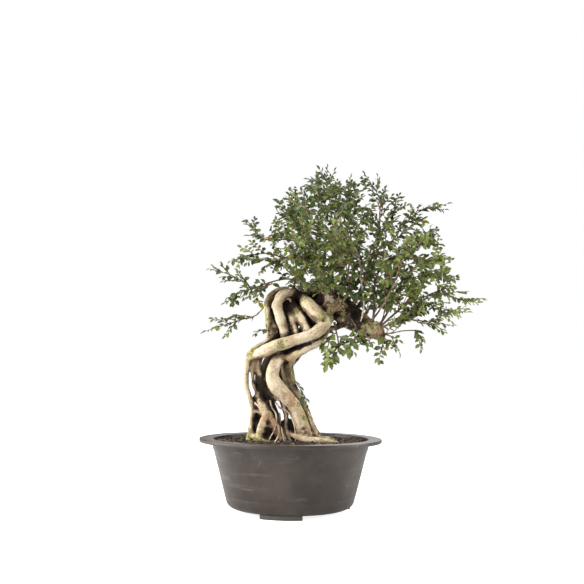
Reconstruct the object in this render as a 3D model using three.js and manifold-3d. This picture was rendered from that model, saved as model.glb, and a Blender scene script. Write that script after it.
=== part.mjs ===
// Chinese elm bonsai: bare twining roots, burls, a leaning trunk and leafy shoots, in a round pot.
// Millimetres, +Z up. While the pieces are made, the pot's axis is the line x = y = 0 and the floor
// is z = 0. The finished group is moved so that the origin lies under the middle of the whole tree.
import * as THREE from "three";
import { mergeVertices } from "three/addons/utils/BufferGeometryUtils.js";
import Module from "manifold-3d";

const wasm = await Module();
wasm.setup();

// Driving dimensions of the pot and its soil
const RIM_RADIUS = 145;
const RIM_HEIGHT = 111;
const LIP_HEIGHT = 5.5;
const BODY_TOP_RADIUS = 126;
const BODY_FOOT_RADIUS = 101.5;
const CORNER_RADIUS = 10;
const FOOT_HEIGHT = 6;
const FOOT_HALF_ANGLE = 0.34;
const FOOT_TURN = -0.145;
const FOOT_RADII = [78, 95];
const WALL = 3;
const DRAIN_HOLE_RADIUS = 5;
const DRAIN_HOLE_CIRCLE = 58;
const DRAIN_HOLE_COUNT = 4;
const POT_SIDES = 32;
const SOIL_LEVEL = 105.5;
const SOIL_MOUND = 3;
const SOIL_MOUND_RADIUS = 55;
const CLEARANCE = 0.35;

// Driving dimensions of the shoots and their leaves
const LEAF_LENGTH = 16;
const LEAF_WIDTH = 8.4;
const LEAF_ANGLE = 0.9;
const INTERNODE = 12.2;
const BLADE = 1.3;
const LEAF_SIDES = 4;
const LEAF_SINK = 0.35;
const LEAF_TILT = 0.22;
const LEAF_ROLL = 0.45;
const BARE_FOOT = 9;
const BARE_END = 3;
const TWIG_RADII = [1.4, 0.9];
const TWIG_SIDES = 3;
const TWIG_STRIDE = 30;
const SIDE_SHOOT_LENGTH = 31;
const SIDE_SHOOT_SPACING = 76;
const SIDE_SHOOT_ANGLE = 0.95;
const FILL_LENGTH = [38, 66];
const FILL_DRAWS = 40;
const FILL_FEET = [0.35, 0.95];
const FILL_AT_END = 0.3;
const FILL_LEAN = [0.4, 1.6];
const UPWARD = new THREE.Vector3(0.1, 0.2, 1);
const SHOOT_TRIES = 14;
const TIGHTEST_GAP = 0.22;
const SEAM_TOLERANCE = 0.08;
const WOOD_TOLERANCE = 0.5;
const WELD = 0.002;
const FAR = 10;

// Facets of the wood: sides round a limb and the length of one stretch of it
const ROOT_SIDES = 6;
const ROOT_STRIDE = 25;
const LIMB_SIDES = 6;
const LIMB_STRIDE = 24;
const TIE_SIDES = 5;
const BRANCH_SIDES = 4;
const BRANCH_STRIDE = 50;

// Where the whole tree's middle lies, seen from the pot's axis
const MIDDLE = [83, 0];

const BARK = new THREE.MeshStandardMaterial({ color: 0xb3a184, roughness: 0.9, metalness: 0 });
const PLASTIC = new THREE.MeshStandardMaterial({ color: 0x4d4743, roughness: 0.6, metalness: 0 });
const EARTH = new THREE.MeshStandardMaterial({ color: 0x2e2620, roughness: 1, metalness: 0 });
const LEAF = new THREE.MeshStandardMaterial({ color: 0x3f5c33, roughness: 0.55, metalness: 0 });

// Roots that stand in the soil: points of each path with its radius there, from the top down
const ROOTS = {
  front: [
    [-8, -6, 262, 8], [-17, -16, 240, 9], [-26, -24, 225, 10.2], [-30, -28, 208, 11.2],
    [-23, -30, 192, 11.6],
    [-10, -28, 179, 11.3], [3, -26, 165, 10.5], [12, -24, 148, 10.5], [18, -22, 130, 11],
    [23, -16, 115, 10.8],
    [24, -12, 96, 9.5],
  ],
  right: [
    [34, 28, 326, 9], [27, 20, 302, 8], [18, 12, 280, 7.8], [8, 6, 259, 8], [-1, 4, 241, 9.1],
    [-7, 0, 225, 10.1], [-4, 0, 207, 10], [1, -2, 189, 9.7],
    [13, -2, 170, 8.7], [23, -2, 151, 8], [29, 0, 132, 7.6], [36, 4, 116, 7.8], [41, 6, 97, 6.5],
  ],
  left: [
    [-48, -2, 257, 6], [-64, -6, 246, 7.1], [-70, -8, 232, 5], [-72, -8, 211, 4.2], [-71, -8, 190, 4.2],
    [-66, -8, 174, 4.1], [-62, -6, 159, 4.3], [-61, -4, 141, 4.6], [-61, -4, 126, 5.7], [-62, -6, 112, 7.2],
    [-63, -6, 96, 5.8],
  ],
  inner_left: [
    [-42, 0, 258, 6], [-51, -2, 240, 6.2], [-53, -4, 224, 6], [-50, -4, 208, 5.7], [-44, 0, 192, 5.6],
    [-36, 4, 176, 5.6], [-29, 10, 157, 5.9], [-22, 14, 137, 6.3], [-17, 16, 118, 6.9], [-14, 16, 96, 6.5],
  ],
  diagonal: [
    [-57, 6, 205, 4], [-54, 2, 189, 5], [-49, -6, 171, 6.8], [-41, -14, 154, 8.4], [-33, -18, 141, 9],
    [-23, -18, 127, 9.3], [-12, -14, 113, 9], [-6, -12, 96, 8],
  ],
  lower_left: [
    [-35, -18, 153, 5.7], [-39, -22, 141, 8.2], [-44, -22, 127, 9.1], [-47, -20, 113, 8.6],
    [-48, -18, 96, 7.3],
  ],
  centre: [
    [-19, -6, 176, 3.6], [-12, -8, 161, 3.8], [-8, -8, 147, 4.4], [-6, -8, 131, 4.7], [-3, -10, 117, 5],
    [-1, -10, 98, 5.4],
  ],
  centre_strand: [
    [-8, -12, 168, 2.2], [-2, -12, 153, 2.4], [4, -14, 141, 2.4], [10, -14, 128, 2.4], [13, -14, 110, 2.4],
  ],
  surface: [
    [-6, -12, 120, 4.4], [10, -24, 114, 5], [27, -30, 110, 4.9], [46, -32, 109, 4.6], [61, -32, 108, 4],
    [76, -30, 106, 2.2],
  ],
  surface_fork: [
    [26, -8, 119, 4.6], [40, -12, 115, 3.8], [51, -14, 111, 3.6], [62, -16, 110, 4.4], [73, -16, 107, 2.4],
  ],
  toe: [
    [-65, -10, 120, 5.7], [-58, -20, 114, 4.9], [-48, -28, 110, 4.2], [-38, -30, 108, 3.4],
    [-29, -30, 105, 2],
  ],
  back_left: [
    [6, 28, 330, 11], [-10, 32, 306, 10.5], [-22, 36, 282, 10], [-30, 36, 252, 10.4],
    [-42, 34, 219, 10], [-48, 34, 182, 9.3], [-50, 36, 146, 9.3], [-52, 38, 112, 9.3], [-54, 38, 96, 8.3],
  ],
  back_right: [
    [44, 30, 326, 11], [32, 36, 304, 10.5], [20, 40, 280, 10.2], [10, 40, 253, 10.8],
    [-2, 42, 216, 11], [8, 44, 179, 10], [22, 44, 146, 9.4], [29, 42, 114, 9.6], [31, 42, 96, 8.3],
  ],
  back_middle: [
    [8, 24, 324, 8.6], [4, 24, 302, 8.4], [-4, 24, 277, 8.3], [-19, 26, 245, 8.3],
    [-27, 26, 212, 8.3], [-28, 28, 182, 7.6], [-35, 32, 153, 7.6], [-34, 36, 117, 7.9], [-32, 36, 96, 7.2],
  ],
  back_cross: [
    [38, 28, 292, 7.5], [24, 42, 264, 7.8], [2, 54, 236, 8], [-20, 54, 208, 7.4], [-42, 48, 184, 6.8],
    [-58, 36, 160, 6.2], [-66, 22, 134, 6], [-70, 16, 112, 6.4], [-72, 14, 97, 5.4],
  ],
  back_foot: [
    [22, 44, 150, 6], [12, 56, 134, 7], [0, 62, 118, 7.2], [-6, 64, 97, 6.4],
  ],
};

// Roots and strands that cross between the others
const TIES = {
  side_bridge: [[-62, -5, 152, 3.6], [-53, -9, 152, 3.5], [-44, -14, 147, 4]],
  cross: [[-44, 6, 197, 4.9], [-36, 0, 184, 5.3], [-26, -6, 176, 5.1], [-11, -16, 172, 5]],
  arch: [[-24, -8, 174, 2], [-33, -10, 171, 2], [-38, -14, 164, 2], [-39, -18, 152, 2]],
  strand: [
    [-55, -6, 241, 2.6], [-60, -6, 224, 2.4], [-60, -6, 205, 2.4], [-56, -5, 189, 2.4], [-49, -6, 174, 2.6],
  ],
};

// Limbs of the upper trunk, which wind from the crossing limb up into the burls
const LIMBS = {
  crossing: [
    [-68, -6, 239, 5.2], [-55, -14, 242, 8.4], [-41, -22, 248, 10.4], [-25, -28, 255, 10.4],
    [-6, -32, 261, 9.6],
    [13, -32, 267, 9.3], [31, -28, 273, 9.3], [44, -22, 282, 10], [54, -14, 294, 10.7], [61, -6, 309, 11],
  ],
  upper_left: [
    [-67, -2, 243, 6.2], [-56, 0, 252, 6.2], [-43, 0, 260, 6.2], [-32, 0, 268, 7.2], [-26, 2, 282, 7.5],
    [-27, 6, 298, 7.6], [-26, 12, 317, 7.6], [-17, 18, 336, 7.7], [0, 24, 348, 8.4],
  ],
  left_upright: [
    [-6, 26, 351, 7.8], [-21, 20, 349, 7.4], [-33, 9, 341, 7.1], [-39, 3, 328, 6.9], [-39, 0, 314, 6.6],
    [-37, 0, 298, 6.2], [-37, 0, 281, 5], [-36, -1, 264, 4.8],
  ],
  bowed: [
    [17, 20, 342, 8.4], [2, 8, 344, 8.6], [-12, -2, 342, 8.3], [-21, -9, 334, 8.1], [-24, -12, 322, 8],
    [-20, -13, 306, 8.1], [-15, -12, 290, 8.1], [-10, -12, 274, 7.8], [-7, -12, 258, 7.5],
  ],
  middle: [
    [-10, 14, 333, 6], [-6, 4, 313, 6.3], [-1, -4, 298, 6.5], [5, -8, 283, 6.7], [10, -14, 266, 6.5],
  ],
  mossy: [
    [-8, 22, 342, 7.4], [0, 8, 326, 7.9], [8, -1, 313, 8.4], [16, -6, 301, 8.5], [22, -10, 288, 8.1],
    [28, -16, 273, 7.8],
  ],
  broad: [
    [10, 18, 354, 9], [18, 2, 336, 10.6], [28, -7, 323, 12.1], [38, -12, 312, 12.7], [47, -12, 302, 12.6],
    [57, -8, 296, 11.7],
  ],
  under: [
    [-14, -12, 239, 3.6], [-8, -14, 240, 6.9], [0, -18, 243, 8.3], [10, -20, 249, 8.3], [25, -18, 256, 7.7],
    [39, -14, 263, 6.9], [50, -8, 273, 6.5], [58, -4, 290, 7.2],
  ],
  hollow_rim: [[56, -2, 291, 4.8], [67, 0, 287, 4.8], [79, 4, 292, 6.5], [91, 6, 298, 8]],
  log: [
    [46, 16, 338, 17], [63, 12, 327, 17], [80, 10, 319, 20.5], [97, 8, 307, 22], [112, 8, 297, 19],
    [127, 6, 287, 16.5],
  ],
};

// Swellings of the two burls: middle and radii
const BURLS = [
  [[50, 2, 350], [14, 15, 10]],
  [[61, -6, 337], [14, 13, 14]],
  [[76, -4, 326], [16, 16, 18]],
  [[35, 8, 349], [11, 13, 9]],
  [[8, 28, 338], [17, 16, 15]],
  [[45, 30, 333], [28, 20, 24]],
  [[131, 4, 285], [17, 18, 16]],
  [[141, 2, 282], [12, 13, 14]],
];
const HOLLOWS = [
  [[44, -14, 333], [6, 14, 8]],
  [[102, -16, 313], [9, 13, 15]],
];

// Branches, from where they leave the wood to their ends
const BRANCHES = {
  top_left: [
    [48, 10, 345, 3.7], [48, 12, 380, 3.2], [40, 14, 411, 2.7], [29, 12, 440, 2.4], [19, 6, 467, 2],
  ],
  top: [[58, 6, 343, 3.7], [63, 14, 389, 3.2], [69, 18, 424, 2.9], [69, 20, 459, 2.4], [64, 20, 498, 2]],
  front_top: [
    [76, 0, 334, 3.7], [87, -8, 362, 3.1], [94, -16, 394, 2.7], [96, -22, 426, 2.3], [91, -22, 463, 2],
  ],
  light: [
    [112, -8, 296, 2.3], [116, -18, 318, 2.3], [115, -20, 339, 2.3], [112, -20, 361, 2.2],
    [111, -20, 384, 2.1],
    [107, -20, 407, 2], [95, -28, 424, 1.8],
  ],
  top_right: [
    [100, 12, 318, 3.8], [115, 16, 356, 3.2], [128, 18, 387, 2.9], [138, 20, 422, 2.5], [147, 20, 456, 2.4],
    [149, 18, 494, 2],
  ],
  tan: [
    [124, 16, 380, 2.6], [130, 0, 408, 2.4], [144, -12, 419, 2.2], [162, -14, 429, 2],
    [177, -12, 449, 1.8],
  ],
  right: [
    [132, 6, 290, 3.8], [136, 4, 326, 3.1], [137, 0, 359, 2.8], [145, -4, 387, 2.5], [161, -6, 403, 2.4],
    [185, -4, 411, 2.1], [207, 0, 423, 1.8],
  ],
  knob_up: [
    [140, 6, 288, 3.3], [158, 4, 314, 2.8], [163, 0, 332, 2.5], [172, -4, 350, 2.1], [184, -4, 369, 2],
    [200, 0, 385, 1.8],
  ],
  knob_fan: [
    [143, 0, 288, 3.1], [167, -8, 310, 2.6], [186, -14, 325, 2.3], [208, -18, 336, 2],
    [235, -16, 342, 1.8],
  ],
  knob_low: [[142, 8, 286, 3], [173, 14, 300, 2.3], [199, 14, 303, 2], [223, 10, 300, 1.7]],
  knob_thin: [[142, 0, 279, 2.1], [161, -2, 279, 1.7], [180, -4, 283, 1.5], [198, -6, 284, 1.4]],
  left: [[35, 14, 350, 3], [13, 14, 366, 2.7], [-12, 10, 369, 2.3], [-37, 4, 362, 2], [-58, 0, 354, 1.7]],
  left_up: [[44, 12, 380, 2.8], [16, 8, 397, 2.3], [-11, 4, 404, 2], [-37, 0, 409, 1.8]],
  left_high: [[34, 14, 426, 2.6], [13, 6, 431, 2.2], [-12, 0, 434, 1.9], [-34, -2, 433, 1.7]],
  left_low: [[-28, 12, 340, 2.6], [-42, 10, 326, 2.2], [-54, 4, 312, 1.7]],
  hanging: [[70, 0, 296, 2.6], [73, -8, 278, 2.1], [75, -12, 266, 1.8]],
  back: [[54, 26, 343, 3.8], [55, 54, 386, 3.1], [49, 76, 422, 2.6], [38, 90, 454, 2.1]],
  back_mid: [[84, 22, 322, 3.8], [100, 52, 365, 3.1], [108, 76, 402, 2.6], [109, 92, 438, 2.1]],
  back_right: [[117, 18, 300, 3.8], [144, 50, 344, 3.1], [171, 72, 380, 2.6], [194, 86, 405, 2.1]],
  back_left: [[22, 30, 346, 3.2], [8, 54, 378, 2.6], [-8, 72, 402, 2.1], [-22, 82, 420, 1.8]],
  front: [[80, -8, 322, 3.2], [91, -36, 350, 2.6], [84, -60, 380, 2.1], [71, -78, 406, 1.8]],
  front_right: [[128, -4, 296, 3.2], [148, -34, 326, 2.6], [159, -58, 353, 2.1], [167, -76, 378, 1.8]],
  front_left: [[48, -2, 352, 2.8], [34, -26, 374, 2.4], [14, -46, 394, 2.1], [-6, -58, 410, 1.8]],
  knob_foot: [[141, 0, 274, 2.2], [146, -8, 264, 1.7]],
  knob_side: [[146, -2, 280, 2.1], [160, -10, 274, 1.6]],
  log_foot: [[99, 2, 290, 2.2], [101, -8, 276, 1.7]],
};

// Leafy shoots of the outline: the branch, how far along it, the tip and at times a point passed
const SHOOTS = [
  ["left_low", 1, [-147, -6, 277], [-88, 2, 298]],
  ["left", 1, [-138, -30, 381]],
  ["left", 0.9, [-119, 34, 328]],
  ["left", 0.76, [-78, -34, 327]],
  ["left_up", 1, [-105, 26, 400]],
  ["left_up", 0.74, [-54, -40, 368]],
  ["left_high", 1, [-80, 4, 469], [-62, 4, 446]],
  ["left_high", 0.7, [-36, 44, 452]],
  ["top_left", 0.84, [-27, -20, 487]],
  ["top_left", 1, [-5, 24, 520]],
  ["top_left", 0.7, [2, -50, 465]],
  ["top", 1, [58, 20, 572]],
  ["top", 0.93, [36, -20, 540]],
  ["top", 0.86, [79, 50, 556]],
  ["front_top", 1, [93, -40, 535]],
  ["front_top", 0.8, [56, -70, 490]],
  ["top_right", 1, [121, 14, 558], [144, 18, 520]],
  ["top_right", 0.92, [163, 44, 538]],
  ["top_right", 0.78, [184, -8, 508]],
  ["tan", 1, [258, -30, 493], [208, -22, 478]],
  ["tan", 0.8, [214, -44, 464]],
  ["right", 1, [255, 20, 442]],
  ["right", 0.86, [238, 44, 461]],
  ["right", 0.7, [224, -34, 390]],
  ["knob_up", 1, [258, 34, 407]],
  ["knob_up", 0.84, [273, -16, 367]],
  ["knob_fan", 1, [313, -4, 329]],
  ["knob_fan", 0.86, [258, -46, 352]],
  ["knob_fan", 0.74, [285, -34, 309], [240, -28, 318]],
  ["knob_low", 1, [277, 44, 321]],
  ["knob_low", 0.84, [259, 28, 287]],
  ["knob_thin", 1, [218, -6, 266]],
  ["knob_side", 1, [178, -16, 264]],
  ["knob_foot", 1, [151, -16, 245]],
  ["log_foot", 1, [104, -20, 255]],
  ["hanging", 1, [54, -20, 217], [67, -16, 244]],
  ["hanging", 0.8, [94, -20, 240]],
  ["hanging", 0.62, [46, -24, 252]],
];

// Branches whose shoots fill the crown, in the order in which these grow
const FILLED = [
  "front", "back", "front_right", "back_mid", "front_left", "back_right", "back_left", "light", "front_top",
  "right", "knob_up", "top_right", "top_left", "front", "back_mid", "front_left", "knob_fan", "back_right",
  "top",
];
// The two lobes of the crown: middle and radii
const LOBES = [
  [[54, 0, 436], [92, 112, 104]],
  [[188, 0, 392], [88, 92, 84]],
];

let seed = 4021;

// The next number of the seeded draw, from 0 to 1
function random() {
  seed = (seed * 16807) % 2147483647;
  return seed / 2147483647;
}

function between(low, high) {
  return low + (high - low) * random();
}

function vector([x, y, z]) {
  return new THREE.Vector3(x, y, z);
}

// A closed geometry as a solid that can be joined and cut
function solid(geometry) {
  const bare = geometry.clone();
  bare.deleteAttribute("normal");
  bare.deleteAttribute("uv");
  const merged = mergeVertices(bare, 1e-4);
  return new wasm.Manifold(new wasm.Mesh({
    numProp: 3,
    vertProperties: new Float32Array(merged.attributes.position.array),
    triVerts: new Uint32Array(merged.index.array),
  }));
}

function geometryOf(body) {
  const mesh = body.getMesh();
  const geometry = new THREE.BufferGeometry();
  geometry.setAttribute("position", new THREE.BufferAttribute(mesh.vertProperties, 3));
  geometry.setIndex(new THREE.BufferAttribute(mesh.triVerts, 1));
  geometry.computeVertexNormals();
  return geometry;
}

// The largest of the separate bodies of a solid, without its loose crumbs
function largest(body) {
  const pieces = body.decompose();
  return pieces.reduce((best, piece) => (piece.volume() > best.volume() ? piece : best));
}

function join(bodies) {
  return bodies.reduce((whole, body) => whole.add(body));
}

// A joined solid without the needless small triangles along its seams
function trimmed(body, tolerance) {
  return largest(body).simplify(tolerance);
}

// A profile of radius and height turned about the pot's axis
function turned(points) {
  const profile = points.map(([radius, height]) => new THREE.Vector2(radius, height));
  return new THREE.LatheGeometry(profile, POT_SIDES).rotateX(Math.PI / 2);
}

// The path through a list of stations, and the radius at a share of its length
function pathOf(stations) {
  return new THREE.CatmullRomCurve3(stations.map(vector), false, "centripetal");
}

function radiusAt(path, stations, share) {
  const along = path.getUtoTmapping(share) * (stations.length - 1);
  const index = Math.min(Math.floor(along), stations.length - 2);
  return THREE.MathUtils.lerp(stations[index][3], stations[index + 1][3], along - index);
}

// A round limb along its stations: a closed cylinder laid on the path
function limb(stations, sides, stride, grow = 0) {
  const path = pathOf(stations);
  const steps = Math.max(2, Math.round(path.getLength() / stride));
  const frames = path.computeFrenetFrames(steps, false);
  const geometry = new THREE.CylinderGeometry(1, 1, 1, sides, steps);
  const position = geometry.attributes.position;
  const point = new THREE.Vector3();
  for (let i = 0; i < position.count; i++) {
    const share = THREE.MathUtils.clamp(position.getY(i) + 0.5, 0, 1);
    const step = Math.round(share * steps);
    const radius = radiusAt(path, stations, share) + grow;
    point.copy(path.getPointAt(share));
    point.addScaledVector(frames.normals[step], position.getX(i) * radius);
    point.addScaledVector(frames.binormals[step], -position.getZ(i) * radius);
    position.setXYZ(i, point.x, point.y, point.z);
  }
  return solid(geometry);
}

function ellipsoid([middle, radii]) {
  const geometry = new THREE.IcosahedronGeometry(1, 1).scale(...radii).translate(...middle);
  return solid(geometry);
}

// The pot: one moulded shell with a flat rim, low feet and drain holes
function makePot() {
  const base = FOOT_HEIGHT;
  const corner = CORNER_RADIUS;
  const underRim = RIM_HEIGHT - LIP_HEIGHT;
  const shell = turned([
    [0, base],
    [BODY_FOOT_RADIUS - corner, base],
    [BODY_FOOT_RADIUS - corner * 0.3, base + corner * 0.28],
    [BODY_FOOT_RADIUS + 0.3, base + corner],
    [BODY_TOP_RADIUS, underRim],
    [RIM_RADIUS - 0.4, underRim],
    [RIM_RADIUS, RIM_HEIGHT],
    [BODY_TOP_RADIUS + 1, RIM_HEIGHT - 0.6],
    [BODY_TOP_RADIUS - WALL + 0.6, underRim + 1],
    [BODY_FOOT_RADIUS - WALL, base + corner],
    [BODY_FOOT_RADIUS - corner, base + WALL],
    [0, base + WALL],
  ]);
  let pot = solid(shell);
  for (let k = 0; k < 3; k++) {
    const middle = -Math.PI / 2 + FOOT_TURN + (k * 2 * Math.PI) / 3;
    const sector = new THREE.Shape();
    sector.absarc(0, 0, FOOT_RADII[1], middle - FOOT_HALF_ANGLE, middle + FOOT_HALF_ANGLE, false);
    sector.absarc(0, 0, FOOT_RADII[0], middle + FOOT_HALF_ANGLE, middle - FOOT_HALF_ANGLE, true);
    const foot = new THREE.ExtrudeGeometry(sector, {
      depth: FOOT_HEIGHT + 1, bevelEnabled: false, curveSegments: 4,
    });
    pot = pot.add(solid(foot));
  }
  for (let k = 0; k < DRAIN_HOLE_COUNT; k++) {
    const angle = (k * 2 * Math.PI) / DRAIN_HOLE_COUNT;
    const drill = new THREE.CylinderGeometry(DRAIN_HOLE_RADIUS, DRAIN_HOLE_RADIUS, 4 * WALL, 8);
    drill.rotateX(Math.PI / 2);
    drill.translate(DRAIN_HOLE_CIRCLE * Math.cos(angle), DRAIN_HOLE_CIRCLE * Math.sin(angle), FOOT_HEIGHT);
    pot = pot.subtract(solid(drill));
  }
  return pot;
}

// The soil: it fills the pot, mounded at the tree, with a plain hole for each root
function makeSoil() {
  const base = FOOT_HEIGHT + WALL + CLEARANCE;
  const topRadius = BODY_TOP_RADIUS - WALL - CLEARANCE;
  let soil = solid(turned([
    [0, base],
    [BODY_FOOT_RADIUS - CORNER_RADIUS - CLEARANCE, base],
    [BODY_FOOT_RADIUS - WALL - CLEARANCE, FOOT_HEIGHT + CORNER_RADIUS],
    [topRadius, SOIL_LEVEL],
    [SOIL_MOUND_RADIUS, SOIL_LEVEL + SOIL_MOUND * 0.8],
    [0, SOIL_LEVEL + SOIL_MOUND],
  ]));
  for (const stations of Object.values(ROOTS)) {
    soil = soil.subtract(limb(stations, ROOT_SIDES, ROOT_STRIDE, CLEARANCE));
  }
  return trimmed(soil, SEAM_TOLERANCE);
}

// All the wood that grew as one piece: roots, limbs, burls and branches
function makeTrunk() {
  const wood = [
    ...Object.values(ROOTS).map((stations) => limb(stations, ROOT_SIDES, ROOT_STRIDE)),
    ...Object.values(TIES).map((stations) => limb(stations, TIE_SIDES, ROOT_STRIDE)),
    ...Object.values(LIMBS).map((stations) => limb(stations, LIMB_SIDES, LIMB_STRIDE)),
    ...BURLS.map(ellipsoid),
  ];
  let trunk = join(wood);
  for (const hollow of HOLLOWS) {
    trunk = trunk.subtract(ellipsoid(hollow));
  }
  trunk = trimmed(trunk, WOOD_TOLERANCE);
  const branches = Object.values(BRANCHES).map((stations) => limb(stations, BRANCH_SIDES, BRANCH_STRIDE));
  return trimmed(join([trunk, ...branches]), SEAM_TOLERANCE);
}

// A point on the straight stretches that a path is faceted into
function facetedPoint(path, share, stride) {
  const steps = Math.max(2, Math.round(path.getLength() / stride));
  const step = Math.min(Math.floor(share * steps), steps - 1);
  const point = path.getPointAt(step / steps);
  return point.lerp(path.getPointAt((step + 1) / steps), share * steps - step);
}

// One leaf: a pointed blade with a raised middle, its foot sunk into its twig
function leaf(foot, along, face, length) {
  const across = new THREE.Vector3().crossVectors(face, along).normalize();
  const out = new THREE.Vector3().crossVectors(along, across);
  const geometry = new THREE.ConeGeometry(0.5, BLADE, LEAF_SIDES, 1, false, Math.PI / 2);
  geometry.rotateX(Math.PI / 2).scale(length, (LEAF_WIDTH / LEAF_LENGTH) * length, 1);
  geometry.translate(length / 2 - LEAF_SINK, 0, BLADE / 2);
  geometry.applyMatrix4(new THREE.Matrix4().makeBasis(along, across, out).setPosition(foot));
  return solid(geometry);
}

// A twig along stations, with leaves by turns on its two sides and one at its end
function leafyTwig(stations, face) {
  const path = pathOf(stations);
  const length = path.getLength();
  const bodies = [limb(stations, TWIG_SIDES, TWIG_STRIDE)];
  const addLeaf = (share, angle, size) => {
    const tangent = path.getTangentAt(share);
    const across = new THREE.Vector3().crossVectors(face, tangent).normalize();
    const along = tangent.multiplyScalar(Math.cos(angle)).addScaledVector(across, Math.sin(angle));
    along.addScaledVector(face, between(-LEAF_TILT, LEAF_TILT)).normalize();
    const tilted = face.clone().applyAxisAngle(along, between(-LEAF_ROLL, LEAF_ROLL));
    bodies.push(leaf(facetedPoint(path, share, TWIG_STRIDE), along, tilted, size));
  };
  let side = random() < 0.5 ? 1 : -1;
  const first = Math.min(BARE_FOOT, length * 0.3);
  for (let at = first; at < length - BARE_END; at += INTERNODE * between(0.9, 1.1)) {
    const size = LEAF_LENGTH * (1 - 0.2 * (at / length)) * between(0.88, 1.08);
    addLeaf(at / length, side * LEAF_ANGLE * between(0.88, 1.1), size);
    side = -side;
  }
  addLeaf(1, 0, Math.min(LEAF_LENGTH * 0.9, length * 0.6));
  return join(bodies);
}

// Stations of a twig through points, thinner towards its end
function tapered(points) {
  const [thick, thin] = TWIG_RADII;
  return points.map((point, k) => {
    const share = k / (points.length - 1);
    return [...point.toArray(), THREE.MathUtils.lerp(thick, thin, share)];
  });
}

// A direction square to an axis, near a wanted one, then turned about the axis
function squareTo(axis, wanted, turn) {
  const square = wanted.clone().addScaledVector(axis, -wanted.dot(axis));
  return square.normalize().applyAxisAngle(axis, turn);
}

// Where a shoot leaves its branch, and in which direction
function seatOf(name, share, target) {
  const stations = BRANCHES[name];
  const path = pathOf(stations);
  const tangent = path.getTangentAt(share);
  const foot = facetedPoint(path, share, BRANCH_STRIDE);
  if (share === 1) {
    return { start: foot.addScaledVector(tangent, CLEARANCE), heading: tangent };
  }
  const heading = squareTo(tangent, target.clone().sub(foot), 0);
  const radius = radiusAt(path, stations, share);
  return { start: foot.addScaledVector(heading, radius + CLEARANCE), heading };
}

// One leafy shoot with its side shoots, fused where they spring from it
function growShoot(name, share, target, passed, attempt) {
  const { start, heading } = seatOf(name, share, target);
  const reach = target.distanceTo(start);
  const bow = new THREE.Vector3(between(-1, 1), between(-1, 1), between(-0.4, 1));
  const middle = passed || start.clone().lerp(target, 0.55).addScaledVector(bow, reach * 0.06);
  const lead = start.clone().addScaledVector(heading, Math.min(6, reach * 0.2));
  const chord = target.clone().sub(start).normalize();
  const end = target.clone().addScaledVector(chord, -Math.min(LEAF_LENGTH * 0.8, reach * 0.3));
  const stations = tapered([start, lead, middle, end]);
  const curve = pathOf(stations);
  const wanted = new THREE.Vector3(0.1, -0.6, 0.8);
  const face = squareTo(chord, wanted, between(-0.8, 0.8) * (1 + attempt * 0.2));
  let shoot = leafyTwig(stations, face);
  const sideCount = attempt > SHOOT_TRIES / 2 ? 0 : Math.round(reach / SIDE_SHOOT_SPACING);
  for (let k = 0; k < sideCount; k++) {
    const at = 0.22 + (0.42 * (k + random())) / sideCount;
    const side = k % 2 ? 1 : -1;
    const tangent = curve.getTangentAt(at);
    const across = new THREE.Vector3().crossVectors(face, tangent).normalize();
    const rise = between(0.5, 0.9) * (random() < 0.6 ? 1 : -1);
    const direction = tangent.clone().multiplyScalar(Math.cos(SIDE_SHOOT_ANGLE));
    direction.addScaledVector(across, side * Math.sin(SIDE_SHOOT_ANGLE));
    direction.addScaledVector(face, rise).normalize();
    const root = facetedPoint(curve, at, TWIG_STRIDE);
    const length = SIDE_SHOOT_LENGTH * between(0.85, 1.15);
    const turn = root.clone().addScaledVector(direction, length * 0.3);
    const sideEnd = root.clone().addScaledVector(direction, length * 0.6);
    sideEnd.addScaledVector(tangent, length * 0.1);
    const sideFace = squareTo(direction, face, between(-0.5, 0.5));
    shoot = shoot.add(leafyTwig(tapered([root, turn, sideEnd]), sideFace));
  }
  return trimmed(shoot, SEAM_TOLERANCE);
}

// Whether a shoot keeps clear of everything that is already placed
function keepsClear(shoot, placed) {
  const box = shoot.boundingBox();
  return placed.every(({ body, box: other }) => {
    const apart = [0, 1, 2].some((i) => box.min[i] > other.max[i] + 1 || box.max[i] < other.min[i] - 1);
    return apart || shoot.minGap(body, 1) >= TIGHTEST_GAP;
  });
}

function insideCrown(point) {
  return LOBES.some(([middle, radii]) => {
    const offset = point.clone().sub(vector(middle)).divide(vector(radii));
    return offset.length() < 1;
  });
}

// Corners of the shoots that have grown, which tell where the crown is still empty
const leafy = [];

function remember(body) {
  const corners = geometryOf(body).getAttribute("position");
  for (let i = 0; i < corners.count; i++) {
    leafy.push(new THREE.Vector3().fromBufferAttribute(corners, i));
  }
}

function emptinessAt(point) {
  return leafy.reduce((least, corner) => Math.min(least, corner.distanceTo(point)), Infinity);
}

// A shoot that may fill the crown: how far along its branch it leaves, its tip and how empty it is there
function drawFill(name) {
  const path = pathOf(BRANCHES[name]);
  const share = random() < FILL_AT_END ? 1 : between(...FILL_FEET);
  const foot = path.getPointAt(share);
  const tangent = path.getTangentAt(share);
  const out = squareTo(tangent, UPWARD, between(-Math.PI, Math.PI));
  out.addScaledVector(tangent, FILL_LEAN[share === 1 ? 1 : 0]).normalize();
  const target = foot.clone().addScaledVector(out, between(...FILL_LENGTH));
  const halfway = foot.lerp(target, 0.5);
  const space = insideCrown(target) ? emptinessAt(target) + emptinessAt(halfway) : 0;
  return { share, target, space };
}

// The draw that reaches into the emptiest part of the crown
function pickFill(name) {
  const draws = Array.from({ length: FILL_DRAWS }, () => drawFill(name));
  return draws.reduce((best, draw) => (draw.space > best.space ? draw : best));
}

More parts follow.
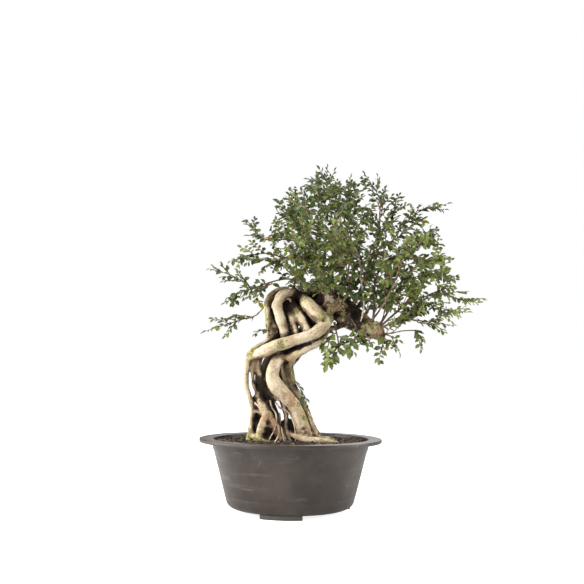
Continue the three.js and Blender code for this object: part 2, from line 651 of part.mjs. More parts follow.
// Whether a solid stays closed when points closer than the weld distance become one
function staysClosed(body) {
  const geometry = mergeVertices(geometryOf(body).deleteAttribute("normal"), WELD);
  const corners = geometry.index.array;
  const kept = [];
  for (let i = 0; i < corners.length; i += 3) {
    const [a, b, c] = corners.subarray(i, i + 3);
    if (a === b || b === c || c === a) continue;
    kept.push(a, b, c);
  }
  const uses = new Map();
  for (let i = 0; i < kept.length; i++) {
    const next = i % 3 === 2 ? i - 2 : i + 1;
    const edge = `${Math.min(kept[i], kept[next])},${Math.max(kept[i], kept[next])}`;
    uses.set(edge, (uses.get(edge) || 0) + 1);
  }
  return [...uses.values()].every((count) => count === 2);
}

function named(name, body, material) {
  const mesh = new THREE.Mesh(geometryOf(body), material);
  mesh.name = name;
  return mesh;
}

const tree = new THREE.Group();
const trunk = makeTrunk();
const pot = makePot();
tree.add(named("pot", pot, PLASTIC));
tree.add(named("soil", makeSoil(), EARTH));
tree.add(named("trunk", trunk, BARK));

const placed = [trunk, pot].map((body) => ({ body, box: body.boundingBox() }));

// A shoot moved in until its foot almost meets the bark of its branch
function seated(shoot, name, share, target) {
  const { heading } = seatOf(name, share, target);
  let body = shoot;
  for (let step = 0; step < 6; step++) {
    const spare = body.minGap(trunk, FAR) - CLEARANCE;
    if (spare > 0.1) {
      body = body.translate(heading.clone().multiplyScalar(-0.8 * spare).toArray());
    }
  }
  return body;
}

// Tries a shoot a few times and keeps the first that is clear of the rest
function placeShoot(name, pick, passed) {
  for (let attempt = 0; attempt < SHOOT_TRIES; attempt++) {
    const { share, target } = pick();
    const body = seated(growShoot(name, share, target, passed, attempt), name, share, target);
    if (staysClosed(body) && keepsClear(body, placed)) {
      placed.push({ body, box: body.boundingBox() });
      remember(body);
      const number = String(placed.length - 2).padStart(2, "0");
      tree.add(named(`spray_${number}`, body, LEAF));
      return true;
    }
  }
  return false;
}

for (const [name, share, tip, passed] of SHOOTS) {
  placeShoot(name, () => ({ share, target: vector(tip) }), passed && vector(passed));
}
for (const name of FILLED) {
  placeShoot(name, () => pickFill(name));
}

const whole = new THREE.Group();
tree.position.set(-MIDDLE[0], -MIDDLE[1], 0);
whole.add(tree);
whole.updateMatrixWorld(true);

export default whole;
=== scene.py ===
import math
import random

import bmesh
import bpy
import numpy as np
from bpy.props import FloatProperty, FloatVectorProperty, IntProperty, PointerProperty
from bpy.types import Operator, Panel, PropertyGroup
from mathutils import Matrix, Quaternion, Vector, noise
from mathutils.bvhtree import BVHTree
from mathutils.kdtree import KDTree


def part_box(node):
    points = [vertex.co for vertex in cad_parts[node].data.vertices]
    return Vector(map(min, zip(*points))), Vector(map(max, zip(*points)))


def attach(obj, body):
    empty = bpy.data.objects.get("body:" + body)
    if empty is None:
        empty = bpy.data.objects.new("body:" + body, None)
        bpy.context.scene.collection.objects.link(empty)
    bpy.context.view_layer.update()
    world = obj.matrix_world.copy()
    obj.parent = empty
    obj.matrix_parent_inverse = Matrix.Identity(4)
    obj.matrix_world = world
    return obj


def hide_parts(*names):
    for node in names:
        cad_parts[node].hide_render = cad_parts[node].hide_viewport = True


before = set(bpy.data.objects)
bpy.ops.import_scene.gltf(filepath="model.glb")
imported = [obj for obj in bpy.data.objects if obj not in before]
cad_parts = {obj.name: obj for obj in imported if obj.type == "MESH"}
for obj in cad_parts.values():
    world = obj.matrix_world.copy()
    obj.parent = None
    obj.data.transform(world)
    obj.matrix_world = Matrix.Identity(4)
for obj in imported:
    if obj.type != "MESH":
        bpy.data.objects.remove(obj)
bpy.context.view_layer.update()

bl_info = {
    "name": "Chinese elm bonsai",
    "version": (1, 0, 0),
    "blender": (4, 5, 0),
    "location": "3D View > Sidebar > Bonsai",
    "description": "Wood, leafy shoots, soil, moss and pot of a Chinese elm grown over bare roots",
    "category": "Add Mesh",
}

# Places and sizes are in millimetres from the pot's axis at the floor, until a piece is finished
MM = 0.001
POT_LOW, POT_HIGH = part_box("pot")
SOIL_LOW, SOIL_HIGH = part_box("soil")
POT_AXIS = Vector(((POT_LOW.x + POT_HIGH.x) / 2, (POT_LOW.y + POT_HIGH.y) / 2, 0))
TO_FRAME = Matrix.Translation(POT_AXIS) @ Matrix.Scale(MM, 4)
FROM_FRAME = TO_FRAME.inverted()
UP = Vector((0, 0, 1))

# Roots that stand in the soil: points of each path with its radius there, from the top down
ROOTS = {
    "front": [
        (-8, -6, 262, 8), (-17, -16, 240, 9), (-26, -24, 225, 10.2), (-30, -28, 208, 11.2),
        (-23, -30, 192, 11.6), (-10, -28, 179, 11.3), (3, -26, 165, 10.5), (12, -24, 148, 10.5),
        (18, -22, 130, 11), (23, -16, 115, 10.8), (24, -12, 96, 9.5),
    ],
    "right": [
        (34, 28, 326, 9), (27, 20, 302, 8), (18, 12, 280, 7.8), (8, 6, 259, 8), (-1, 4, 241, 9.1),
        (-7, 0, 225, 10.1), (-4, 0, 207, 10), (1, -2, 189, 9.7), (13, -2, 170, 8.7), (23, -2, 151, 8),
        (29, 0, 132, 7.6), (36, 4, 116, 7.8), (41, 6, 97, 6.5),
    ],
    "left": [
        (-48, -2, 257, 6), (-64, -6, 246, 7.1), (-70, -8, 232, 5), (-72, -8, 211, 4.2),
        (-71, -8, 190, 4.2), (-66, -8, 174, 4.1), (-62, -6, 159, 4.3), (-61, -4, 141, 4.6),
        (-61, -4, 126, 5.7), (-62, -6, 112, 7.2), (-63, -6, 96, 5.8),
    ],
    "inner_left": [
        (-42, 0, 258, 6), (-51, -2, 240, 6.2), (-53, -4, 224, 6), (-50, -4, 208, 5.7),
        (-44, 0, 192, 5.6), (-36, 4, 176, 5.6), (-29, 10, 157, 5.9), (-22, 14, 137, 6.3),
        (-17, 16, 118, 6.9), (-14, 16, 96, 6.5),
    ],
    "diagonal": [
        (-57, 6, 205, 4), (-54, 2, 189, 5), (-49, -6, 171, 6.8), (-41, -14, 154, 8.4),
        (-33, -18, 141, 9), (-23, -18, 127, 9.3), (-12, -14, 113, 9), (-6, -12, 96, 8),
    ],
    "lower_left": [
        (-35, -18, 153, 5.7), (-39, -22, 141, 8.2), (-44, -22, 127, 9.1), (-47, -20, 113, 8.6),
        (-48, -18, 96, 7.3),
    ],
    "centre": [
        (-19, -6, 176, 3.6), (-12, -8, 161, 3.8), (-8, -8, 147, 4.4), (-6, -8, 131, 4.7),
        (-3, -10, 117, 5), (-1, -10, 98, 5.4),
    ],
    "centre_strand": [
        (-8, -12, 168, 2.2), (-2, -12, 153, 2.4), (4, -14, 141, 2.4), (10, -14, 128, 2.4),
        (13, -14, 110, 2.4),
    ],
    "surface": [
        (-6, -12, 120, 4.4), (10, -24, 114, 5), (27, -30, 110, 4.9), (46, -32, 109, 4.6),
        (61, -32, 108, 4), (76, -30, 106, 2.2),
    ],
    "surface_fork": [
        (26, -8, 119, 4.6), (40, -12, 115, 3.8), (51, -14, 111, 3.6), (62, -16, 110, 4.4),
        (73, -16, 107, 2.4),
    ],
    "toe": [
        (-65, -10, 120, 5.7), (-58, -20, 114, 4.9), (-48, -28, 110, 4.2), (-38, -30, 108, 3.4),
        (-29, -30, 105, 2),
    ],
    "back_left": [
        (6, 28, 330, 11), (-10, 32, 306, 10.5), (-22, 36, 282, 10), (-30, 36, 252, 10.4),
        (-42, 34, 219, 10), (-48, 34, 182, 9.3), (-50, 36, 146, 9.3), (-52, 38, 112, 9.3),
        (-54, 38, 96, 8.3),
    ],
    "back_right": [
        (44, 30, 326, 11), (32, 36, 304, 10.5), (18, 40, 280, 9.4), (5, 40, 253, 9),
        (-7, 42, 216, 9.6), (4, 44, 179, 9.4), (20, 44, 146, 9.2), (28, 42, 114, 9.6), (31, 42, 96, 8.3),
    ],
    "back_middle": [
        (8, 24, 324, 8.6), (4, 24, 302, 8.4), (-4, 24, 277, 8.3), (-19, 26, 245, 8.3),
        (-27, 26, 212, 8.3), (-28, 28, 182, 7.6), (-35, 32, 153, 7.6), (-34, 36, 117, 7.9),
        (-32, 36, 96, 7.2),
    ],
    "back_cross": [
        (38, 28, 292, 7.5), (24, 42, 264, 7.8), (2, 54, 236, 8), (-20, 54, 208, 7.4),
        (-42, 48, 184, 6.8), (-57, 36, 160, 6), (-63, 22, 134, 5.4), (-66, 16, 112, 5.8),
        (-69, 14, 97, 5.2),
    ],
    "back_foot": [(22, 44, 150, 6), (12, 56, 134, 7), (0, 62, 118, 7.2), (-6, 64, 97, 6.4)],
}

# Roots and strands that cross between the others
TIES = {
    "side_bridge": [(-62, -5, 152, 3.6), (-53, -9, 152, 3.5), (-44, -14, 147, 4)],
    "cross": [(-44, 6, 197, 4.9), (-36, 0, 184, 5.3), (-26, -6, 176, 5.1), (-11, -16, 172, 5)],
    "arch": [(-24, -8, 174, 2), (-33, -10, 171, 2), (-38, -14, 164, 2), (-39, -18, 152, 2)],
    "strand": [
        (-56, -6, 241, 2.6), (-61.5, -6, 224, 3.2), (-61.5, -6, 205, 3.3), (-58.5, -5, 189, 3.2),
        (-50, -6, 173, 2.8),
    ],
}

# Limbs of the upper trunk, which wind from the crossing limb up into the burls
LIMBS = {
    "crossing": [
        (-68, -6, 239, 5.2), (-55, -14, 242, 8.4), (-41, -22, 248, 10.4), (-25, -28, 255, 10.4),
        (-6, -32, 261, 9.6), (13, -32, 267, 9.3), (31, -28, 273, 9.3), (44, -22, 282, 10),
        (54, -14, 294, 10.7), (61, -6, 309, 11),
    ],
    "upper_left": [
        (-67, -2, 243, 6.2), (-56, 0, 252, 6.2), (-43, 0, 260, 6.2), (-32, 0, 268, 7.2),
        (-26, 2, 282, 7.5), (-27, 6, 298, 7.6), (-26, 12, 317, 7.6), (-17, 18, 336, 7.7),
        (0, 24, 348, 8.4),
    ],
    "left_upright": [
        (-6, 26, 351, 7.8), (-21, 20, 349, 7.4), (-33, 9, 341, 7.1), (-39, 3, 328, 6.9),
        (-39, 0, 314, 6.6), (-37, 0, 298, 6.2), (-37, 0, 281, 5), (-36, -1, 264, 4.8),
    ],
    "bowed": [
        (17, 20, 342, 8.4), (2, 8, 344, 8.6), (-12, -2, 342, 8.3), (-21, -9, 334, 8.1),
        (-24, -12, 322, 8), (-20, -13, 306, 8.1), (-15, -12, 290, 8.1), (-10, -12, 274, 7.8),
        (-7, -12, 258, 7.5),
    ],
    "middle": [
        (-10, 14, 333, 6), (-6, 4, 313, 6.3), (-1, -4, 298, 6.5), (5, -8, 283, 6.7), (10, -14, 266, 6.5),
    ],
    "mossy": [
        (-8, 22, 342, 7.4), (0, 8, 326, 7.9), (8, -1, 313, 8.4), (16, -6, 301, 8.5), (22, -10, 288, 8.1),
        (28, -16, 273, 7.8),
    ],
    "broad": [
        (20, 26, 346, 6), (19, 10, 338, 8), (24, -4, 328, 11), (30, -8, 321, 12.1), (38, -12, 312, 12.7),
        (47, -12, 302, 12.6), (57, -8, 296, 11.7),
    ],
    "under": [
        (-14, -14, 237, 3.6), (-8, -18, 238, 6.7), (0, -23, 240, 8), (10, -25, 246, 8),
        (25, -23, 253, 7.4), (39, -18, 260, 6.8), (50, -10, 271, 6.5), (58, -4, 290, 7.2),
    ],
    "hollow_rim": [(56, -2, 291, 4.8), (67, 0, 287, 4.8), (79, 4, 292, 6.5), (91, 6, 298, 8)],
    "log": [
        (46, 16, 338, 17), (63, 12, 327, 17), (80, 10, 319, 20.5), (97, 8, 307, 22), (112, 8, 297, 19),
        (127, 6, 287, 16.5),
    ],
}

# Thin roots, hairs and shoots of the old wood, too fine to be part of the swollen wood
HAIRS = {
    "wire": [
        (27, -14, 152, 1.2), (35, -16, 138, 1), (41, -18, 127, 0.8), (48, -22, 115, 0.8),
        (50, -25, 105, 0.7),
    ],
    "left_hair": [(-23, -26, 133, 1.3), (-26, -28, 123, 1.1), (-31, -30, 114, 0.8), (-36, -33, 105, 0.6)],
    "knee_hair": [(-33, -14, 169, 1.6), (-30, -21, 159, 1.4), (-24, -25, 150, 1.3), (-22, -26, 138, 1.1)],
    "curl": [(-16, 0, 330, 2), (-9, -6, 334, 1.9), (-3, -8, 332, 1.7), (-2, -7, 328, 1.3)],
    "back_hair": [(-40, 44, 178, 1.5), (-30, 50, 156, 1.3), (-22, 52, 132, 1.1), (-18, 54, 104, 0.9)],
    "back_curl": [(2, 54, 214, 1.6), (-8, 58, 190, 1.4), (-2, 60, 164, 1.2), (8, 60, 142, 1.1)],
    "gap_hair": [(-18, -4, 150, 1), (-16, -9, 138, 0.9), (-18, -11, 126, 0.8), (-17, -14, 108, 0.7)],
    "side_hair": [
        (26, 20, 158, 1.4), (34, 14, 142, 1.3), (41, 8, 126, 1.1), (49, 0, 112, 0.9), (54, -6, 104, 0.7),
    ],
    "knee_strand": [
        (-24, -18, 166, 1.5), (-17, -24, 158, 1.7), (-8, -24, 155, 1.6), (0, -22, 146, 1.5),
        (6, -24, 130, 1.3), (8, -26, 106, 1),
    ],
    "pale_strand": [
        (-12, -13, 168, 2.2), (-10, -14, 158, 2.6), (-7, -15, 143, 2.8), (-7, -16, 127, 2.9),
        (-3, -18, 112, 3), (1, -19, 102, 2.4),
    ],
    "pink_strand": [
        (-4, -14, 158, 1.6), (4, -20, 148, 1.6), (11, -22, 136, 1.5), (13, -24, 120, 1.3),
        (17, -28, 105, 1),
    ],
    "foot_strand": [(-20, -26, 132, 1.3), (-18, -31, 120, 1.2), (-22, -34, 110, 1), (-27, -37, 104, 0.7)],
    "foot_curl": [(-15, -24, 128, 1.1), (-12, -30, 117, 1), (-10, -34, 109, 0.9), (-4, -37, 104, 0.7)],
    "left_strand": [
        (-58, -10, 166, 1.4), (-50, -14, 158, 1.3), (-45, -20, 148, 1.1), (-44, -26, 134, 1),
        (-50, -28, 116, 0.8),
    ],
}

# Swellings of the two burls: middle and radii
BURLS = [
    ((50, 2, 350), (14, 15, 10)),
    ((61, -6, 337), (14, 13, 14)),
    ((76, -4, 326), (16, 16, 18)),
    ((35, 8, 349), (11, 13, 9)),
    ((8, 28, 338), (17, 16, 15)),
    ((45, 30, 333), (28, 20, 24)),
    ((131, 4, 285), (17, 18, 16)),
    ((141, 2, 282), (12, 13, 14)),
]

# Smaller lumps on burls, limbs and roots: middle and radii
LUMPS = [
    ((118, -8, 291), (9, 9, 8)),
    ((66, -16, 317), (8, 7, 9)),
    ((84, -10, 312), (9, 9, 9)),
    ((56, -12, 324), (8, 8, 7)),
    ((136, -8, 292), (8, 8, 7)),
    ((147, -4, 276), (7, 8, 7)),
    ((92, 20, 326), (12, 12, 10)),
    ((66, 30, 316), (14, 12, 12)),
    ((122, 18, 300), (11, 10, 10)),
    ((20, 24, 316), (13, 8, 16)),
    ((-11, 20, 314), (8, 6, 15)),
    ((-54, 7, 205), (6, 5, 13)),
    ((-4, 26, 118), (22, 8, 22)),
    ((-63, -2, 232), (5, 5, 7)),
    ((-58, -1, 172), (4, 5, 8)),
    ((58, -11, 312), (6, 7, 6)),
    ((40, 12, 292), (7, 6, 7)),
    ((110, 8, 306), (11, 12, 17)),
    ((99, 10, 318), (13, 13, 17)),
    ((84, 8, 326), (12, 13, 15)),
]

SWELLINGS = BURLS + LUMPS

# The height above which swellings are of old wood
OLD_WOOD_FROM = 262

# From where across the log ends in its knob, and how rough that is beside the log
KNOB_FROM = 120
KNOB_ROUGHNESS = 0.45

# Hollows in the burls: middle and radii
HOLLOWS = [((44, -14, 333), (6, 14, 8)), ((104, -15, 312), (8, 14, 14))]

# Knots where branches were lost: middle and radius
KNOTS = [((20, -32, 126), 4.4), ((51, -24, 296), 3.6), ((-22, -22, 300), 2.6)]

# Places on the wood where moss and lichen, tan new bark, pale bark and rot show, and where old dirt and
# painted shade darken it: point and reach
MOSS_SPOTS = [
    ((-38, 0, 341), 13), ((-36, -2, 326), 11), ((-37, -4, 303), 9), ((-28, 0, 284), 8),
    ((-5, -2, 311), 9), ((7, -8, 317), 11), ((18, -6, 331), 12), ((50, -20, 303), 11),
    ((55, -18, 295), 8), ((-65, -12, 243), 11), ((-18, -38, 257), 10), ((7, -26, 248), 8),
    ((0, -8, 215), 15), ((6, -8, 200), 14), ((16, -34, 163), 8), ((24, -32, 145), 9), ((32, -8, 152), 10),
    ((-64, -12, 112), 12), ((-53, -26, 109), 10), ((116, -10, 295), 13), ((128, -14, 291), 9),
    ((67, -18, 302), 12), ((62, -4, 288), 9), ((84, -13, 311), 10), ((-45, -28, 112), 9),
    ((71, -22, 112), 12), ((-22, 44, 270), 18), ((20, 50, 268), 18), ((-46, 46, 150), 14),
    ((30, 52, 150), 14), ((60, 44, 330), 20), ((20, 44, 335), 16), ((-68, 20, 118), 12),
    ((4, 68, 120), 12),
]
TAN_SPOTS = [
    ((34, -24, 317), 4), ((-8, -25, 239), 12), ((-1, -28, 240), 9), ((3, -38, 176), 10),
    ((0, -36, 168), 9), ((-53, -12, 210), 8), ((-28, -26, 127), 11), ((92, -22, 312), 5),
    ((73, -22, 318), 8), ((-20, -40, 215), 8), ((-44, 44, 220), 14), ((8, 54, 190), 14),
    ((-34, -26, 143), 10), ((-18, -26, 118), 9), ((-46, -28, 116), 7), ((141, -13, 282), 10),
    ((-54, -8, 190), 7), ((-8, -34, 176), 8),
]
PALE_SPOTS = [
    ((59, -18, 333), 9), ((43, -12, 343), 6), ((58, -14, 347), 5), ((84, -24, 311), 4),
    ((18, -16, 301), 9), ((25, -20, 286), 8), ((2, -12, 302), 7), ((8, -18, 283), 7), ((18, -14, 324), 5),
]
ROT_SPOTS = [
    ((46, -14, 333), 8), ((45, -6, 296), 6), ((104, -14, 318), 17), ((104, -14, 300), 17),
    ((100, -10, 284), 14), ((94, -12, 334), 12), ((91, -10, 278), 9), ((120, -6, 270), 8),
    ((70, 34, 340), 12), ((104, 30, 300), 14), ((77, -10, 340), 7), ((80, -6, 288), 9),
    ((92, -10, 301), 8), ((72, -12, 302), 7), ((112, -4, 318), 10),
]
# Dark places on the wood: dirt, and painted shade in the gaps between roots
DIRT_AND_SHADE_SPOTS = [
    ((0, 6, 323), 10), ((-44, 0, 192), 12), ((-47, 6, 179), 13), ((-39, 2, 291), 6), ((-27, 0, 284), 5),
    ((-50, -2, 200), 12), ((-32, 4, 160), 14), ((-8, 6, 150), 16), ((15, 8, 344), 13), ((6, 4, 338), 9),
    ((-14, 0, 170), 10), ((-22, 2, 150), 12), ((6, 2, 136), 12), ((-4, 16, 128), 20), ((20, 16, 316), 14),
    ((-48, 4, 200), 9), ((-36, -4, 176), 7), ((-20, -4, 190), 8), ((-30, -2, 214), 8), ((8, -4, 226), 6),
    # From (-5, -25, 249) on, these spots follow the underside of the crossing limb as its painted shadow
    ((-22, 0, 232), 7), ((-40, -8, 124), 5), ((-56, -2, 138), 6), ((-5, -25, 249), 7), ((2, -28, 252), 6),
    ((9, -30, 255), 6), ((15, -31, 257), 5), ((21, -30, 260), 5), ((27, -29, 262), 5),
    ((33, -27, 266), 5), ((39, -24, 270), 5), ((45, -20, 275), 5), ((51, -16, 279), 5),
    ((-44, -4, 214), 9), ((-42, -6, 224), 7), ((-37, -12, 172), 7), ((-20, -14, 140), 8),
    ((14, -12, 122), 9), ((-40, 26, 216), 14), ((-44, 27, 198), 12), ((-30, -20, 112), 7),
    ((-52, -12, 128), 7), ((8, -6, 190), 6), ((-12, -8, 250), 7), ((-37, -28, 136), 5),
    ((149, -10, 276), 6), ((130, -14, 268), 7), ((138, -16, 291), 3.5), ((133, -17, 281), 3),
    ((-38, -29, 126), 5), ((-39, -28, 116), 6), ((-31, -27, 124), 4), ((-31, -26, 113), 7),
]

# Branches, from where they leave the wood to their ends
BRANCHES = {
    "top_left": [
        (48, 10, 345, 3.7), (48, 12, 380, 3.2), (40, 14, 411, 2.7), (29, 12, 440, 2.4), (19, 6, 467, 2),
    ],
    "top": [
        (58, 6, 343, 3.7), (63, 14, 389, 3.2), (69, 18, 424, 2.9), (69, 20, 459, 2.4), (64, 20, 498, 2),
    ],
    "front_top": [
        (76, 0, 334, 3.7), (87, -8, 362, 3.1), (94, -16, 394, 2.7), (96, -22, 426, 2.3),
        (91, -22, 463, 2),
    ],
    "light": [
        (112, -8, 296, 2.3), (116, -18, 318, 2.3), (115, -20, 339, 2.3), (112, -20, 361, 2.2),
        (111, -20, 384, 2.1), (107, -20, 407, 2), (95, -28, 424, 1.8),
    ],
    "top_right": [
        (100, 12, 318, 3.8), (115, 16, 356, 3.2), (128, 18, 387, 2.9), (138, 20, 422, 2.5),
        (147, 20, 456, 2.4), (149, 18, 494, 2),
    ],
    "tan": [
        (124, 16, 380, 2.6), (130, 0, 408, 2.4), (144, -12, 419, 2.2), (162, -14, 429, 2),
        (177, -12, 449, 1.8),
    ],
    "right": [
        (132, 6, 290, 3.8), (136, 4, 326, 3.1), (137, 0, 359, 2.8), (145, -4, 387, 2.5),
        (161, -6, 403, 2.4), (185, -4, 411, 2.1), (207, 0, 423, 1.8),
    ],
    "knob_up": [
        (140, 6, 288, 3.3), (158, 4, 314, 2.8), (163, 0, 332, 2.5), (172, -4, 350, 2.1),
        (184, -4, 369, 2), (200, 0, 385, 1.8),
    ],
    "knob_fan": [
        (143, 0, 288, 3.1), (167, -8, 310, 2.6), (186, -14, 325, 2.3), (208, -18, 336, 2),
        (235, -16, 342, 1.8),
    ],
    "knob_low": [(142, 8, 286, 3), (173, 14, 300, 2.3), (199, 14, 303, 2), (223, 10, 300, 1.7)],
    "knob_thin": [(142, 0, 279, 2.1), (161, -2, 279, 1.7), (180, -4, 283, 1.5), (198, -6, 284, 1.4)],
    "left": [
        (35, 14, 350, 3), (13, 14, 366, 2.7), (-12, 10, 369, 2.3), (-37, 4, 362, 2), (-58, 0, 354, 1.7),
    ],
    "left_up": [(44, 12, 380, 2.8), (16, 8, 397, 2.3), (-11, 4, 404, 2), (-37, 0, 409, 1.8)],
    "left_high": [(34, 14, 426, 2.6), (13, 6, 431, 2.2), (-12, 0, 434, 1.9), (-34, -2, 433, 1.7)],
    "left_low": [(-28, 12, 340, 2.6), (-42, 10, 326, 2.2), (-54, 4, 312, 1.7)],
    "hanging": [(70, 0, 296, 2.6), (73, -8, 278, 2.1), (75, -12, 266, 1.8)],
    "back": [(54, 26, 343, 3.8), (55, 54, 386, 3.1), (49, 76, 422, 2.6), (38, 90, 454, 2.1)],
    "back_mid": [(84, 22, 322, 3.8), (100, 52, 365, 3.1), (108, 76, 402, 2.6), (109, 92, 438, 2.1)],
    "back_right": [(117, 18, 300, 3.8), (144, 50, 344, 3.1), (171, 72, 380, 2.6), (194, 86, 405, 2.1)],
    "back_left": [(22, 30, 346, 3.2), (8, 54, 378, 2.6), (-8, 72, 402, 2.1), (-22, 82, 420, 1.8)],
    "front": [(80, -8, 322, 3.2), (91, -36, 350, 2.6), (84, -60, 380, 2.1), (71, -78, 406, 1.8)],
    "front_right": [
        (128, -4, 296, 3.2), (148, -34, 326, 2.6), (159, -58, 353, 2.1), (167, -76, 378, 1.8),
    ],
    "front_left": [(48, -2, 352, 2.8), (34, -26, 374, 2.4), (14, -46, 394, 2.1), (-6, -58, 410, 1.8)],
    "knob_foot": [(141, 0, 274, 2.2), (146, -8, 264, 1.7)],
    "knob_side": [(146, -2, 280, 2.1), (160, -10, 274, 1.6)],
    "log_foot": [(99, 2, 290, 2.2), (101, -8, 276, 1.7)],
}

# Leafy shoots of the outline, in the order of the spray nodes: branch, share of its length, tip and
# at times a point passed
SHOOTS = [
    ("left_low", 1, (-147, -6, 277), (-88, 2, 298)),
    ("left", 1, (-138, -30, 381), None),
    ("left", 0.9, (-119, 34, 328), None),
    ("left", 0.76, (-78, -34, 327), None),
    ("left_up", 1, (-105, 26, 400), None),
    ("left_up", 0.74, (-54, -40, 368), None),
    ("left_high", 1, (-80, 4, 469), (-62, 4, 446)),
    ("left_high", 0.7, (-36, 44, 452), None),
    ("top_left", 0.84, (-27, -20, 487), None),
    ("top_left", 1, (-5, 24, 520), None),
    ("top_left", 0.7, (2, -50, 465), None),
    ("top", 1, (58, 20, 572), None),
    ("top", 0.93, (36, -20, 540), None),
    ("top", 0.86, (79, 50, 556), None),
    ("front_top", 1, (93, -40, 535), None),
    ("front_top", 0.8, (56, -70, 490), None),
    ("top_right", 1, (121, 14, 558), (144, 18, 520)),
    ("top_right", 0.92, (163, 44, 538), None),
    ("top_right", 0.78, (184, -8, 508), None),
    ("tan", 1, (258, -30, 493), (208, -22, 478)),
    ("tan", 0.8, (214, -44, 464), None),
    ("right", 1, (255, 20, 442), None),
    ("right", 0.86, (238, 44, 461), None),
    ("right", 0.7, (224, -34, 390), None),
    ("knob_up", 1, (258, 34, 407), None),
    ("knob_up", 0.84, (273, -16, 367), None),
    ("knob_fan", 1, (313, -4, 329), None),
    ("knob_fan", 0.86, (258, -46, 352), None),
    ("knob_fan", 0.74, (285, -34, 309), (240, -28, 318)),
    ("knob_low", 1, (277, 44, 321), None),
    ("knob_low", 0.84, (259, 28, 287), None),
    ("knob_thin", 1, (218, -6, 266), None),
    ("knob_side", 1, (178, -16, 264), None),
    ("knob_foot", 1, (151, -16, 245), None),
    ("log_foot", 1, (104, -20, 255), None),
    ("hanging", 1, (54, -20, 217), (67, -16, 244)),
    ("hanging", 0.8, (94, -20, 240), None),
    ("hanging", 0.62, (46, -24, 252), None),
]

# Branches that carry the spray nodes after those of the outline
FILLED = [
    "front", "back", "front_right", "back_mid", "front_left", "back_right", "back_left", "light",
    "front_top", "right", "knob_up", "top_right", "top_left", "front", "back_mid", "front_left",
    "knob_fan", "back_right", "top",
]

# Thin stems that fan out low on the crown: the branch, how far along it they leave, and the tip
STEMS = [
    ("knob_up", 0.06, (176, -24, 352)), ("knob_up", 0.1, (160, -30, 344)),
    ("knob_fan", 0.06, (196, -34, 340)), ("knob_fan", 0.1, (214, -30, 322)),
    ("knob_fan", 0.16, (206, -44, 352)), ("knob_low", 0.08, (194, -14, 316)),
    ("knob_low", 0.14, (222, -6, 316)), ("right", 0.08, (150, -26, 366)),
    ("right", 0.14, (170, -28, 384)), ("right", 0.3, (182, -30, 402)),
    ("top_right", 0.12, (130, -20, 376)), ("top_right", 0.3, (144, -24, 420)),
    ("front_top", 0.12, (84, -34, 362)), ("front_top", 0.3, (66, -40, 392)),
    ("front_top", 0.5, (78, -52, 420)), ("top", 0.2, (46, -30, 386)), ("top", 0.35, (40, -40, 416)),
    ("top_left", 0.3, (18, -30, 404)), ("log_foot", 0.1, (118, -26, 262)),
    ("knob_side", 0.2, (166, -26, 290)), ("knob_thin", 0.3, (186, -20, 300)),
]

# The share of each of those stems that is bare
BARE_STEM = 0.4

# Gaps through the crown as the camera sees them: across, height and reach
GAPS = [
    (92, 386, 7), (125, 386, 8), (73, 377, 6), (127, 433, 7), (150, 372, 6), (168, 352, 6), (186, 334, 8),
    (60, 412, 5), (196, 396, 7), (160, 440, 6), (28, 372, 6), (172, 318, 8), (206, 372, 6), (86, 470, 5),
    (140, 318, 6), (230, 350, 7), (214, 420, 7), (180, 470, 6),
]

# Places where the crown has leaves only at its back, given in the same way
BARE_FRONTS = [
    (111, 322, 8), (111, 336, 8), (111, 352, 9), (110, 368, 9), (109, 384, 9), (108, 399, 8), (120, 408, 8),
    (132, 414, 7), (144, 419, 7), (48, 336, 10), (60, 334, 11), (71, 332, 9), (38, 342, 8),
]

# How thick the branches are, as a share of their stations' radii, and those in front of the crown
STEM_SHARE = 0.6
FRONT_STEM_SHARE = 0.5

# The two lobes of the crown: middle and radii
LOBES = [((54, 0, 436), (92, 112, 104)), ((180, 0, 392), (82, 92, 84))]

# How full each lobe is: shoots reach only points where the noise is no more than this
FULLNESS = [0.38, 0]

# How many points are tried in the lobes
LOBE_TRIES = 26000

# The height under which the crown has no leaves, from each place across on
CROWN_FLOOR = [(-200, 350), (60, 338), (132, 322), (172, 296)]

# Shapes of leaves: how far the blade is folded, how far it curls down and how broad it is
LEAF_SHAPES = (
    (0.35, 0.10, 1.0), (0.5, 0.25, 0.92), (0.2, 0.32, 1.06), (0.55, -0.08, 0.96), (0.3, 0.2, 1.12),
)

# How far the last leaf of an outline shoot reaches
END_LEAF = 7.5

# Branches with leaves larger than the common ones, and how much larger
BIG_LEAVED = {"hanging": 1.45, "log_foot": 1.3, "knob_foot": 1.1, "left": 1.1}

# Soft lights: place from the middle of the tree in metres, size and share of the main light's power
TREE_MIDDLE = POT_AXIS + Vector((0.05, 0, 0.3))
LIGHTS = {
    "key": ((-1.3, -1.3, 1.1), 1.1, 1),
    "left": ((-1.7, -0.1, 0.1), 1.3, 0.85),
    "fill": ((1.6, -0.25, 0.5), 1.2, 0.6),
    "top": ((0.1, 0.1, 1.9), 1.2, 0.16),
    "back": ((0.3, 1.7, 1.1), 1.4, 0.4),
}

# Colours of bark that the settings do not hold
ROSY_BARK = (0.50, 0.37, 0.27)
EARTHY_BARK = (0.27, 0.18, 0.085)
STAINED_BARK = (0.20, 0.145, 0.075)
FLECKED_BARK = (0.15, 0.10, 0.055)
PORE_BROWN = (0.09, 0.052, 0.026)
OLD_BARK = (0.27, 0.20, 0.09)
OLD_CRACK = (0.018, 0.011, 0.006)
OLD_PALE_BARK = (0.56, 0.45, 0.30)
BARE_BARK = (0.56, 0.46, 0.335)
DARK_TAN = (0.17, 0.09, 0.04)
GREEN_FILM = (0.47, 0.40, 0.185)
DARK_LICHEN = (0.075, 0.068, 0.022)
CREVICE_SHADE_BROWN = (0.11, 0.062, 0.033)
ROT_BLACK = (0.011, 0.007, 0.005)
ROT_BROWN = (0.075, 0.05, 0.034)
HAIR_BARK = (0.29, 0.215, 0.155)
BRANCH_BARK = (0.12, 0.078, 0.05)
